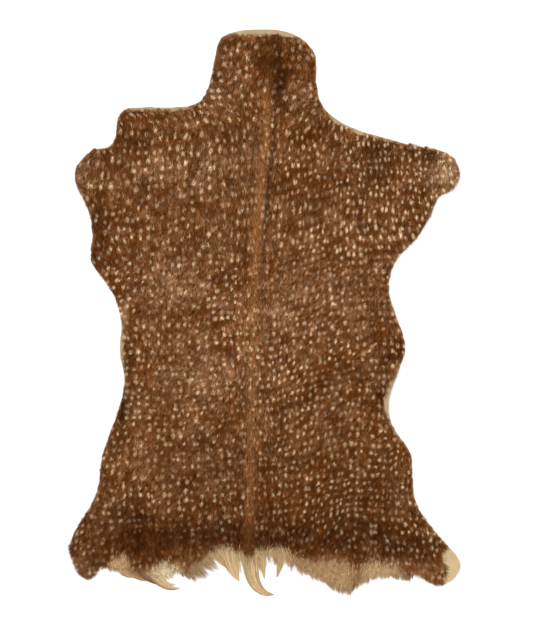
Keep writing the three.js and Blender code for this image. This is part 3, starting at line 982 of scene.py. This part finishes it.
SHORT_HAIR = HairFinish("short_goat_hair", 0.6, 0.0, 0.3, spotted=True)
RUMP_HAIR = HairFinish("longer_goat_hair", 0.5, 0.03, 0.26, spotted=True)
LONG_HAIR = HairFinish("long_blond_hair", 0.45, 0.16, 0.16)
CREAM_LEATHER = LeatherFinish(
    "cream_leather", (0.6, 0.44, 0.235), (0.47, 0.33, 0.165), 0.7, 0.35, 0.05, darkened=True)
SUEDE = LeatherFinish("suede_underside", (0.62, 0.5, 0.33), (0.5, 0.38, 0.23), 0.95, 0.6, 0.4)
# The hair next to the leather is near black: partly the roots' own dark brown, partly painted shade deep in
# the pile.
HAIR_ROOTS_AND_PAINTED_SHADE = LeatherFinish(
    "hair_close_to_the_leather_and_painted_shade", (0.052, 0.021, 0.0065), (0.03, 0.011, 0.0035), 0.9, 0.9, 0, gloss=0)


def mesh_object(name: str, places: np.ndarray, corners: np.ndarray, sides: int) -> bpy.types.Object:
    """A mesh of faces that all have the same number of corners.

    Args:
        name: The piece's name.
        places: Its vertices, in millimetres.
        corners: The vertices of each face, one row each.
        sides: How many corners a face has.

    Returns:
        The object, linked to the scene.
    """
    mesh = bpy.data.meshes.new(name)
    mesh.vertices.add(len(places))
    mesh.vertices.foreach_set("co", (places * MM).astype(np.float32).ravel())
    mesh.loops.add(corners.size)
    mesh.polygons.add(len(corners))
    mesh.polygons.foreach_set("loop_start", np.arange(0, corners.size, sides, dtype=np.int32))
    mesh.polygons.foreach_set("vertices", corners.astype(np.int32).ravel())
    mesh.update(calc_edges=True)
    mesh.validate()
    made = bpy.data.objects.new(name, mesh)
    bpy.context.scene.collection.objects.link(made)
    return made


@dataclass
class Strands:
    """Many hairs, each a row of points with a width, a colour and a place among the spots."""

    paths: np.ndarray
    widths: np.ndarray
    rolls: np.ndarray
    colours: np.ndarray
    spots: np.ndarray | None = None

    def build(self, name: str, finish: HairFinish) -> bpy.types.Object:
        """Make one mesh of all hairs, each a thin blade pointed at both ends.

        Args:
            name: The piece's name.
            finish: Its finish.

        Returns:
            The object.
        """
        count, rings, _ = self.paths.shape
        along = np.gradient(self.paths, axis=1)
        along /= np.linalg.norm(along, axis=2, keepdims=True) + 1e-9
        side = np.cross(along, np.array([0.0, 0.0, 1.0]))
        side /= np.linalg.norm(side, axis=2, keepdims=True) + 1e-9
        lift = np.cross(side, along)
        roll = self.rolls[:, None, None]
        half = (side * np.cos(roll) + lift * np.sin(roll)) * (0.5 * self.widths[:, :, None])
        inner = np.stack([self.paths - half, self.paths + half], axis=2)[:, 1:-1]
        per_hair = 2 * rings - 2
        places = np.concatenate([self.paths[:, :1], inner.reshape(count, -1, 3), self.paths[:, -1:]], axis=1)
        blade = [(0, 2, 1)]
        for ring in range(rings - 3):
            left = 1 + 2 * ring
            blade += [(left, left + 1, left + 3), (left, left + 3, left + 2)]
        blade.append((per_hair - 3, per_hair - 2, per_hair - 1))
        corners = (np.arange(count) * per_hair)[:, None, None] + np.array(blade)[None]
        made = mesh_object(name, places.reshape(-1, 3), corners.reshape(-1, 3), 3)
        kept = made.data.color_attributes.new("hair_colour_and_painted_shade", "FLOAT_COLOR", "POINT")
        kept.data.foreach_set("color", self._each(self.colours))
        if self.spots is not None:
            kept = made.data.attributes.new("spot_place", "FLOAT_VECTOR", "POINT")
            kept.data.foreach_set("vector", self._each(self.spots))
        plan_map(made.data)
        made.data.materials.append(finish.material())
        return made

    @staticmethod
    def _each(values: np.ndarray) -> np.ndarray:
        """Values of the hairs' points, repeated for both sides of each blade, as one long row."""
        sides = np.repeat(values[:, 1:-1], 2, axis=1)
        return np.concatenate([values[:, :1], sides, values[:, -1:]], axis=1).astype(np.float32).ravel()


def plan_map(mesh: bpy.types.Mesh) -> None:
    """Map a mesh from straight above, over its own box.

    Args:
        mesh: The mesh to map.
    """
    places = np.empty(len(mesh.vertices) * 3, np.float32)
    mesh.vertices.foreach_get("co", places)
    plan = places.reshape(-1, 3)[:, :2]
    low, high = plan.min(0), plan.max(0)
    flat = 0.004 + 0.992 * (plan - low) / (high - low)
    corners = np.empty(len(mesh.loops), np.int32)
    mesh.loops.foreach_get("vertex_index", corners)
    layer = mesh.uv_layers.new(name="OFBake")
    layer.data.foreach_set("uv", flat[corners].ravel())


@dataclass
class PlanSheet:
    """A closed sheet over the part of the plan where a chart is below nothing."""

    chart: Chart
    pitch: float
    reach: float = 0.45
    pull: float = 0.8
    rounds: int = 4

    def __post_init__(self) -> None:
        """Lay the cells and pull the outer ones to the chart's zero line."""
        low = np.array(self.chart.low)
        size = np.array(self.chart.values.shape) * self.chart.step
        columns, lines = (size / self.pitch).astype(int)
        across, along = low[0] + np.arange(columns) * self.pitch, low[1] + np.arange(lines) * self.pitch
        x, y = np.meshgrid(across, along, indexing="ij")
        near = self.chart.at(x, y) < self.reach * self.pitch
        whole = near[:-1, :-1] & near[1:, :-1] & near[1:, 1:] & near[:-1, 1:]
        number = np.arange(columns * lines).reshape(columns, lines)
        cells = np.stack([number[:-1, :-1], number[1:, :-1], number[1:, 1:], number[:-1, 1:]], -1)[whole]
        sides = np.vstack([cells[:, [0, 1]], cells[:, [1, 2]], cells[:, [2, 3]], cells[:, [3, 0]]])
        code = sides[:, 0] * number.size + sides[:, 1]
        back = sides[:, 1] * number.size + sides[:, 0]
        rim = sides[~np.isin(code, back)]
        used = np.unique(cells)
        fresh = np.full(number.size, -1)
        fresh[used] = np.arange(len(used))
        self.x, self.y = x.ravel()[used].astype(float), y.ravel()[used].astype(float)
        self.cells, self.rim = fresh[cells], fresh[rim]
        border = np.unique(self.rim)
        for _ in range(self.rounds):
            bx, by = self.x[border], self.y[border]
            off = self.chart.at(bx, by)
            slope_x, slope_y = self.chart.slope(bx, by)
            steep = np.maximum(slope_x ** 2 + slope_y ** 2, 0.2)
            self.x[border] -= self.pull * off * slope_x / steep
            self.y[border] -= self.pull * off * slope_y / steep

    def mesh(self, name: str, bottom: np.ndarray, top: np.ndarray) -> bpy.types.Object:
        """Close the sheet between two heights.

        Args:
            name: The piece's name.
            bottom: Height of the lower face at each of the sheet's places.
            top: Height of the upper face.

        Returns:
            The object, its upper faces first and its lower faces last.
        """
        count = len(self.x)
        upper = np.column_stack([self.x, self.y, top])
        lower = np.column_stack([self.x, self.y, bottom])
        walls = np.column_stack([self.rim[:, ::-1], self.rim + count])
        faces = np.vstack([self.cells, walls, self.cells[:, ::-1] + count])
        return mesh_object(name, np.vstack([upper, lower]), faces, 4)


@dataclass
class Skin:
    """The leather: one whole cut skin, cream on its hair side and suede below."""

    plan: HidePlan
    name: str = "goat_skin"
    pitch: float = 6.0
    flat_width: float = 0.644
    flat_length: float = 0.915
    flat_area: float = 0.382
    pucker: float = 0.12
    pale_corner: Patch = Patch("pale corner", 312, -412, 46, 46, 0, 1.4)

    def build(self) -> bpy.types.Object:
        """Cut and dress the leather.

        Returns:
            The skin.
        """
        sheet = PlanSheet(self.plan.edge, self.pitch)
        under = self.plan.under.at(sheet.x, sheet.y)
        pucker = self.pucker * waver(sheet.x, sheet.y, 9, 71)
        bottom = np.maximum(under + 0.5 * pucker, 0.02)
        made = sheet.mesh(self.name, bottom, under + self.plan.leather + pucker)
        made.data.materials.append(CREAM_LEATHER.material())
        made.data.materials.append(SUEDE.material())
        self._age(made, sheet)
        count = len(made.data.polygons)
        which = np.zeros(count, np.int32)
        which[count - len(sheet.cells):] = 1
        made.data.polygons.foreach_set("material_index", which)
        made.data.polygons.foreach_set("use_smooth", np.ones(count, bool))
        made.data.set_sharp_from_angle(angle=math.radians(50))
        return made

    def _age(self, made: bpy.types.Object, sheet: PlanSheet) -> None:
        """Darken the leather, except at the pale hind corner.

        Args:
            made: The skin.
            sheet: Its plan.
        """
        corner_share = np.clip(self.pale_corner.at(sheet.x, sheet.y), 0, 1)
        # The leather is darker everywhere but at the pale hind corner, with a little random unevenness.
        shade = 0.66 + 0.34 * corner_share + 0.06 * waver(sheet.x, sheet.y, 14, 72)
        rgba = np.ones((2 * len(shade), 4), np.float32)
        rgba[:, :3] = np.tile(shade, 2)[:, None]
        kept = made.data.color_attributes.new("age", "FLOAT_COLOR", "POINT")
        kept.data.foreach_set("color", rgba.ravel())


@dataclass
class Undercoat:
    """The hair close to the leather, which shows between the longer hairs; its near-black colour is partly
    the roots' own dark brown, partly painted shade deep in the pile.
    """

    plan: HidePlan
    name: str = "undercoat"
    pitch: float = 6.0
    share: float = 0.42
    inset: float = 2.6
    above_leather: float = 0.15

    def build(self) -> bpy.types.Object:
        """Lay the undercoat.

        Returns:
            The undercoat.
        """
        grid = np.meshgrid(self.plan.x, self.plan.y, indexing="ij")
        bare = np.maximum(-laid(COVERED, *grid), 0)
        reach = Chart(self.plan.coat.values + self.inset + bare, self.plan.low, self.plan.step)
        sheet = PlanSheet(reach, self.pitch)
        grain = self.plan.under.at(sheet.x, sheet.y) + self.plan.leather
        lowest = grain + self.above_leather
        depth = -np.minimum(reach.at(sheet.x, sheet.y), 0)
        height = self.share * self.plan.pile.at(sheet.x, sheet.y) * (0.3 + 0.7 * smooth(0, 10, depth))
        height = height + 0.25 * waver(sheet.x, sheet.y, 8, 81)
        made = sheet.mesh(self.name, lowest, lowest + np.maximum(height, self.above_leather))
        made.data.materials.append(HAIR_ROOTS_AND_PAINTED_SHADE.material())
        made.data.polygons.foreach_set("use_smooth", np.ones(len(made.data.polygons), bool))
        return made


@dataclass
class CoatLayer:
    """Hair rooted in the leather: how dense, long and fine it is, and how it lies."""

    plan: HidePlan
    flow: HairFlow
    pattern: CoatPattern
    seed: int
    density: float = 0.83
    length: float = 10.0
    width: float = 0.77
    rings: int = 3
    clump: float = 5.2
    gather: float = 0.42
    past_edge: float = 1.1
    half_width: float = 330.0
    front_end: float = 470.0
    rear_end: float = -460.0
    ragged: tuple[Wave, ...] = ((2.4, 7, 91), (2.2, 2.6, 92))
    near_line: float = 1.2
    near_edge: float = 0.7
    tuft_length: float = 1.6
    stray: float = 13.0
    stray_at_line: float = 18.0
    stray_at_rump: float = 12.0
    uneven_length: tuple[float, float] = (0.72, 1.15)
    uneven_width: tuple[float, float] = (0.75, 1.25)
    bend: float = 0.12
    shortest: float = 1.5
    lowest: float = 0.25
    roll: float = 0.85

    def roots(self, front: float, rear: float, rng: np.random.Generator) -> tuple[np.ndarray, np.ndarray]:
        """Scatter roots evenly over the haired part between two lines.

        Args:
            front: The front line's y.
            rear: The rear line's y.
            rng: Source of the scatter.

        Returns:
            The roots' x and y.
        """
        pitch = 1 / math.sqrt(self.density)
        across = np.arange(-self.half_width, self.half_width, pitch)
        x, y = np.meshgrid(across, np.arange(max(rear, self.rear_end), min(front, self.front_end), pitch))
        x = x.ravel() + rng.uniform(-0.5, 0.5, x.size) * pitch
        y = y.ravel() + rng.uniform(-0.5, 0.5, y.size) * pitch
        kept = self.plan.coat.at(x, y) + wavers(x, y, self.ragged) < self.near_line + laid(COVERED, x, y)
        kept &= self.plan.edge.at(x, y) < self.near_edge
        return x[kept], y[kept]

    def gathered(self, x: np.ndarray, y: np.ndarray) -> tuple[np.ndarray, np.ndarray]:
        """How far each root is from the middle of the little tuft it belongs to.

        Args:
            x: The roots' x.
            y: The roots' y.

        Returns:
            The way to the tuft's middle, across and along.
        """
        shift = np.random.default_rng(101).uniform(-0.4, 0.4, (2, 128, 128))
        u, v = x / self.clump, y / (self.tuft_length * self.clump)
        best = np.full(x.shape, 9.0)
        to_x, to_y = np.zeros_like(x), np.zeros_like(y)
        for step_u in (-1, 0, 1):
            for step_v in (-1, 0, 1):
                i, j = np.floor(u).astype(int) + step_u, np.floor(v).astype(int) + step_v
                du = i + 0.5 + shift[0, i & 127, j & 127] - u
                dv = j + 0.5 + shift[1, i & 127, j & 127] - v
                gap = du * du + dv * dv
                nearer = gap < best
                best = np.where(nearer, gap, best)
                to_x = np.where(nearer, du * self.clump, to_x)
                to_y = np.where(nearer, dv * self.tuft_length * self.clump, to_y)
        return to_x, to_y

    def strands(self, x: np.ndarray, y: np.ndarray, length: np.ndarray, rng: np.random.Generator,
                limit: np.ndarray) -> Strands:
        """Lay a hair from each root.

        Args:
            x: The roots' x.
            y: The roots' y.
            length: How long each hair is.
            rng: Source of the unevenness from hair to hair.
            limit: How far past the cut edge each may reach.

        Returns:
            The hairs.
        """
        lean = self.flow.lean(x, y)
        stray = self.stray + self.stray_at_line * smooth(-9, -1, self.plan.coat.at(x, y))
        stray = stray + self.stray_at_rump * smooth(-300, -360, y)
        angle = np.radians(lean + stray * rng.normal(0, 1, len(x)))
        to_x, to_y = self.gathered(x, y)
        length = length * rng.uniform(*self.uneven_length, len(x))
        bend = rng.normal(0, self.bend, len(x))
        for _ in range(3):
            over = self.plan.edge.at(x + np.sin(angle) * length, y - np.cos(angle) * length) - limit
            length = np.where(over > 0, np.maximum(length - over - 0.3, self.shortest), length)
        share = np.linspace(0, 1, self.rings)[None, :]
        turned = angle[:, None] + bend[:, None] * share
        step = length[:, None] / (self.rings - 1)
        path_x = x[:, None] + np.cumsum(np.sin(turned) * step, axis=1) - np.sin(turned[:, :1]) * step
        path_y = y[:, None] - np.cumsum(np.cos(turned) * step, axis=1) + np.cos(turned[:, :1]) * step
        pull = self.gather * share ** 1.3
        path_x = path_x + to_x[:, None] * pull
        path_y = path_y + 0.5 * to_y[:, None] * pull
        layer = rng.uniform(0.3, 1.0, len(x)) ** 0.7
        rise = np.sin(np.minimum(share * 1.25, 1.0) * math.pi / 2) * layer[:, None]
        rise = rise - 0.12 * share ** 4
        ground = self.plan.ground(path_x, path_y)
        path_z = np.maximum(ground + rise * self.plan.pile.at(path_x, path_y), self.lowest)
        path_z[:, 0] = ground[:, 0] - 0.1
        widths = self.width * rng.uniform(*self.uneven_width, len(x))
        widths = np.repeat(widths[:, None], self.rings, axis=1)
        rolls = rng.uniform(-self.roll, self.roll, len(x))
        paths = np.stack([path_x, path_y, path_z], axis=2)
        # How far the hair line leaves each root open, which lifts its painted root shade.
        bared = smooth(-4, -0.5, self.plan.coat.at(x, y))
        return Strands(paths, widths, rolls, *self.pattern.hairs(paths, bared, rng))


@dataclass
class ShortCoat:
    """The short spotted coat, in four stretches from neck to rump."""

    plan: HidePlan
    flow: HairFlow
    pattern: CoatPattern
    rump_length: float = 13.5
    ahead_of_blond: float = 14.0
    edge_shorter: float = 0.25

    def build(self, part: CoatPart) -> bpy.types.Object:
        """Lay one stretch of the coat.

        Args:
            part: Which stretch.

        Returns:
            The stretch as one piece.
        """
        layer = CoatLayer(self.plan, self.flow, self.pattern, 200 + list(CoatPart).index(part))
        rng = np.random.default_rng(layer.seed)
        x, y = layer.roots(*part.value, rng)
        ahead = y > dark_end(x) + self.ahead_of_blond + 4 * waver(x, y, 9, 111)
        x, y = x[ahead], y[ahead]
        longer = smooth(-300, -370, y)
        length = layer.length + (self.rump_length - layer.length) * longer
        length = length * (1 - self.edge_shorter * smooth(-22, -4, self.plan.edge.at(x, y)))
        limit = layer.past_edge * (0.5 + 0.5 * waver(x, y, 3.5, 112))
        limit = limit + laid(OVERHANG, x, y) * rng.uniform(0.2, 1.0, len(x))
        strands = layer.strands(x, y, length, rng, limit)
        return strands.build("coat_" + part.name.lower(), SHORT_HAIR)


@dataclass
class RumpHair:
    """The longer hair over the rear edge, dark in front and blond behind."""

    plan: HidePlan
    flow: HairFlow
    pattern: CoatPattern
    name: str = "rump_hair"
    front: float = -340.0
    rear: float = -470.0
    lengths: tuple[float, float] = (14.0, 23.0)
    ahead_of_blond: float = 18.0
    past_bare_edge: float = 1.6

    def build(self) -> bpy.types.Object:
        """Lay the rump hair.

        Returns:
            The rump hair as one piece.
        """
        finer = {"density": 1.05, "width": 0.5, "rings": 5, "clump": 7.5, "gather": 0.55}
        layer = CoatLayer(self.plan, self.flow, self.pattern, 300, **finer)
        rng = np.random.default_rng(layer.seed)
        x, y = layer.roots(self.front, self.rear, rng)
        behind = y < dark_end(x) + self.ahead_of_blond + 4 * waver(x, y, 9, 111)
        x, y = x[behind], y[behind]
        length = rng.uniform(*self.lengths, len(x))
        reach = np.interp(x, [row.x for row in HEM_HAIR], [row.reach for row in HEM_HAIR])
        in_hem = smooth(-268, -256, x) * smooth(250, 240, x)
        over_floor = (0.45 * reach + 5) * rng.uniform(0.2, 1.0, len(x))
        limit = self.past_bare_edge * (1 - in_hem) + over_floor * in_hem
        tufts = (0.55 + 0.6 * waver(x, y, 5, 113)) * rng.uniform(0.4, 1.0, len(x))
        limit = limit + laid(OVERHANG, x, y) * tufts
        strands = layer.strands(x, y, length, rng, limit)
        return strands.build(self.name, RUMP_HAIR)


@dataclass
class HemHair:
    """Long blond hair along one stretch of the rear edge, in locks that lie on the floor."""

    plan: HidePlan
    hem: Hem
    rings: int = 9
    per_mm: float = 8.0
    per_lock_mm: float = 44.0
    first_x: float = -270.0
    last_x: float = 246.0
    strip: float = 7.6
    behind_edge: float = 0.4
    lock_behind_edge: float = 4.1
    lock_pitch: float = 7.0
    lock_scatter: float = 0.35
    uneven_reach: float = 0.24
    uneven_lean: float = 5.0
    uneven_curl: float = 8.0
    width: float = 0.46
    height: float = 2.9
    roll: float = 0.8

    def build(self) -> bpy.types.Object:
        """Lay the locks.

        Returns:
            The stretch as one piece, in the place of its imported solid.
        """
        rng = np.random.default_rng(400 + list(Hem).index(self.hem))
        low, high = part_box(self.hem.value)
        parts = [self._row(low.x / MM, high.x / MM, rng)]
        parts += [self._lock(lock, rng) for lock in BIG_LOCKS[self.hem]]
        whole = Strands(*(np.concatenate(values) for values in zip(*parts)))
        made = whole.build("long_" + self.hem.value, LONG_HAIR)
        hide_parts(self.hem.value)
        return made

    def _row(self, low: float, high: float, rng: np.random.Generator) -> tuple[np.ndarray, ...]:
        """The row of small locks.

        Args:
            low: The row's left end.
            high: Its right end.
            rng: Source of the unevenness.

        Returns:
            Paths, widths, rolls and colours.
        """
        left, right = max(low + 1, self.first_x), min(high - 1, self.last_x)
        count = int((right - left) * self.per_mm)
        x = rng.uniform(left, right, count)
        deep = rng.uniform(0, 1, count)
        y = self.plan.hem(x) - self.behind_edge - self.strip * deep * 0.9
        places = np.arange(left - self.lock_pitch, right + self.lock_pitch, self.lock_pitch)
        places = places + rng.uniform(-self.lock_scatter, self.lock_scatter, len(places)) * self.lock_pitch
        which = np.abs(x[:, None] - places[None]).argmin(1)
        vary = rng.normal(0, 1, (3, len(places)))
        rows = np.array([(row.x, row.reach, row.lean, row.curl, row.tufted) for row in HEM_HAIR], float)
        reach, lean, curl, tufted = (np.interp(x, rows[:, 0], rows[:, k]) for k in (1, 2, 3, 4))
        reach = reach * (1 + self.uneven_reach * tufted * vary[0][which]) * rng.uniform(0.45, 1.12, count)
        reach = reach + 2 - 3 * deep
        lean = lean + self.uneven_lean * vary[1][which] + rng.normal(0, self.uneven_lean, count)
        curl = curl + self.uneven_curl * vary[2][which] + rng.normal(0, self.uneven_curl, count)
        to_lock = (places[which] - x) * tufted * rng.uniform(0.4, 1.3, count)
        _, path_x, path_y = self._sweep(x, y, np.maximum(reach, 3), lean, curl)
        share = np.linspace(0, 1, self.rings)[None, :]
        path_x = path_x + to_lock[:, None] * share ** 1.4
        up = np.sin(np.minimum(share * 1.3 + 0.15, 1.0) * math.pi / 2) * (1 - 0.75 * share ** 2)
        path_z = 0.35 + up * self.height * rng.uniform(0.2, 1, count)[:, None]
        return self._finish(np.stack([path_x, path_y, path_z], axis=2), x, rng)

    def _lock(self, lock: Lock, rng: np.random.Generator) -> tuple[np.ndarray, ...]:
        """One big lock, its hairs side by side from root to tip.

        Args:
            lock: The lock.
            rng: Source of the unevenness.

        Returns:
            Paths, widths, rolls and colours.
        """
        count = int(self.per_lock_mm * lock.width)
        place = rng.uniform(-1, 1, count)
        x = lock.x + place * 0.5 * lock.width
        y = self.plan.hem(x) - self.behind_edge - self.strip * rng.uniform(0, 0.6, count)
        reach = lock.reach * (1 - 0.3 * rng.uniform(0, 1, count) ** 2.2)
        root, *turns = (np.array([value]) for value in (lock.x, lock.reach, lock.lean, lock.curl))
        middle = self._sweep(root, self.plan.hem(root) - self.lock_behind_edge, *turns)
        line = np.linspace(0, 1, self.rings)
        at = line[None, :] * (reach / lock.reach)[:, None]
        facing, own_x, own_y = (np.interp(at, line, values[0]) for values in middle)
        half = 0.5 * lock.width * (1 - at ** 1.8) + 0.4
        wave = 0.08 * np.sin(6 * at + rng.uniform(0, 6.3, count)[:, None])
        off = (place[:, None] + wave) * half
        rooted = 1 - smooth(0, 0.22, at)
        path_x = (own_x + np.cos(facing) * off) * (1 - rooted) + x[:, None] * rooted
        path_y = own_y + np.sin(facing) * off
        path_y = path_y * (1 - rooted) + (y[:, None] - at * lock.reach) * rooted
        dome = np.sqrt(np.clip(1 - place ** 2, 0.05, 1))[:, None]
        path_z = 0.5 + lock.height * dome * (1 - at ** 1.4) * rng.uniform(0.45, 1, count)[:, None]
        return self._finish(np.stack([path_x, path_y, path_z], axis=2), x, rng)

    def _sweep(self, x: np.ndarray, y: np.ndarray, reach: np.ndarray, lean: np.ndarray,
               curl: np.ndarray) -> tuple[np.ndarray, np.ndarray, np.ndarray]:
        """Follow hairs over the floor as they turn.

        Args:
            x: The roots' x.
            y: The roots' y.
            reach: How far each reaches.
            lean: Its lean at the root.
            curl: How far it turns.

        Returns:
            The heading, the x and the y at each point from root to tip.
        """
        share = np.linspace(0, 1, self.rings)[None, :]
        heading = np.radians(lean[:, None] + curl[:, None] * share ** 2)
        middle = 0.5 * (heading[:, 1:] + heading[:, :-1])
        step = reach[:, None] / (self.rings - 1)
        start = np.zeros((len(x), 1))
        path_x = x[:, None] + np.concatenate([start, np.cumsum(np.sin(middle) * step, axis=1)], axis=1)
        path_y = y[:, None] - np.concatenate([start, np.cumsum(np.cos(middle) * step, axis=1)], axis=1)
        return heading, path_x, path_y

    def _finish(self, paths: np.ndarray, x: np.ndarray, rng: np.random.Generator) -> tuple[np.ndarray, ...]:
        """Widths, rolls and colours for some hairs.

        Args:
            paths: The hairs' points.
            x: The roots' x.
            rng: Source of the unevenness.

        Returns:
            Paths, widths, rolls and colours.
        """
        count = len(paths)
        share = np.linspace(0, 1, self.rings)
        taper = np.interp(share, [0, 0.1, 0.6, 1], [0.8, 1, 0.9, 0.3])
        widths = self.width * rng.uniform(0.7, 1.3, count)[:, None] * taper[None]
        # The long hair is painted darker at the root and a little lighter at the tip, as painted shade at the
        # roots.
        shade = np.interp(share, [0, 0.25, 1], [0.74, 0.94, 1.08])
        uneven = np.exp(rng.normal(0, 0.24, count)) * np.where(rng.uniform(0, 1, count) < 0.2, 0.45, 1.05)
        own = hem_colour(x + rng.normal(0, 5, count)) * uneven[:, None]
        colours = np.ones((count, self.rings, 4))
        colours[:, :, :3] = np.clip(own[:, None, :] * shade[None, :, None], 0, 1)
        return paths, widths, rng.uniform(-self.roll, self.roll, count), colours


@dataclass
class Studio:
    """A pale floor, soft light from above, and the camera over the rug, all in metres."""

    floor_size: float = 9.0
    floor_drop: float = 0.0004
    floor_grey: float = 0.9
    world_light: float = 0.64
    lens: float = 80.0
    film: float = 36.0
    seen: float = 1.0395
    aim_x: float = 0.00264
    aim_y: float = -0.0035
    lamps: tuple[Lamp, ...] = (
        ("key_light", (-0.9, 1.4, 2.7), 1.9, 74), ("fill_light", (1.3, -0.8, 2.9), 2.4, 30))

    def build(self) -> None:
        """Set the stage."""
        self._floor()
        self._lights()
        self._camera()

    def _floor(self) -> None:
        """A wide pale floor just under the rug."""
        bpy.ops.mesh.primitive_plane_add(size=self.floor_size, location=(0, 0, -self.floor_drop))
        floor = bpy.context.object
        floor.name = "studio_floor"
        pale = bpy.data.materials.new("pale_floor")
        pale.use_nodes = True
        shader = pale.node_tree.nodes["Principled BSDF"]
        shader.inputs["Base Color"].default_value = (*[self.floor_grey] * 3, 1)
        shader.inputs["Roughness"].default_value = 0.9
        shader.inputs["Specular IOR Level"].default_value = 0.1
        floor.data.materials.append(pale)

    def _lights(self) -> None:
        """A pale world and two wide soft lights."""
        world = bpy.data.worlds.new("studio")
        world.use_nodes = True
        glow = world.node_tree.nodes["Background"]
        glow.inputs["Color"].default_value = (1, 1, 1, 1)
        glow.inputs["Strength"].default_value = self.world_light
        bpy.context.scene.world = world
        for name, place, size, power in self.lamps:
            lamp = bpy.data.lights.new(name, "AREA")
            lamp.shape, lamp.size, lamp.energy = "SQUARE", size, power
            made = bpy.data.objects.new(name, lamp)
            made.location = place
            made.rotation_euler = (-Vector(place)).to_track_quat("-Z", "Y").to_euler()
            bpy.context.scene.collection.objects.link(made)
        bpy.context.scene.view_settings.view_transform = "Standard"

    def _camera(self) -> None:
        """The camera straight above, with the photograph's frame."""
        eye = bpy.data.cameras.new("camera")
        eye.sensor_fit = "VERTICAL"
        eye.sensor_height = self.film
        eye.lens = self.lens
        made = bpy.data.objects.new("camera", eye)
        made.location = (self.aim_x, self.aim_y, self.lens * self.seen / self.film)
        bpy.context.scene.collection.objects.link(made)
        bpy.context.scene.camera = made


def main() -> None:
    """Build the rug piece by piece, then the studio."""
    logging.basicConfig(level=logging.INFO, format="%(name)s: %(message)s")
    plan = HidePlan()
    flow, pattern = HairFlow(), CoatPattern()
    skin = Skin(plan)
    leather = skin.build()
    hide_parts(plan.node)
    short = [Undercoat(plan).build()]
    coat = ShortCoat(plan, flow, pattern)
    short += [coat.build(part) for part in CoatPart]
    short.append(RumpHair(plan, flow, pattern).build())
    blond = [HemHair(plan, hem).build() for hem in Hem]
    for piece in (leather, *short, *blond):
        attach(piece, "root")
        log.info("%s: %d faces", piece.name, len(piece.data.polygons))
    Studio().build()


if __name__ == "__main__":
    main()
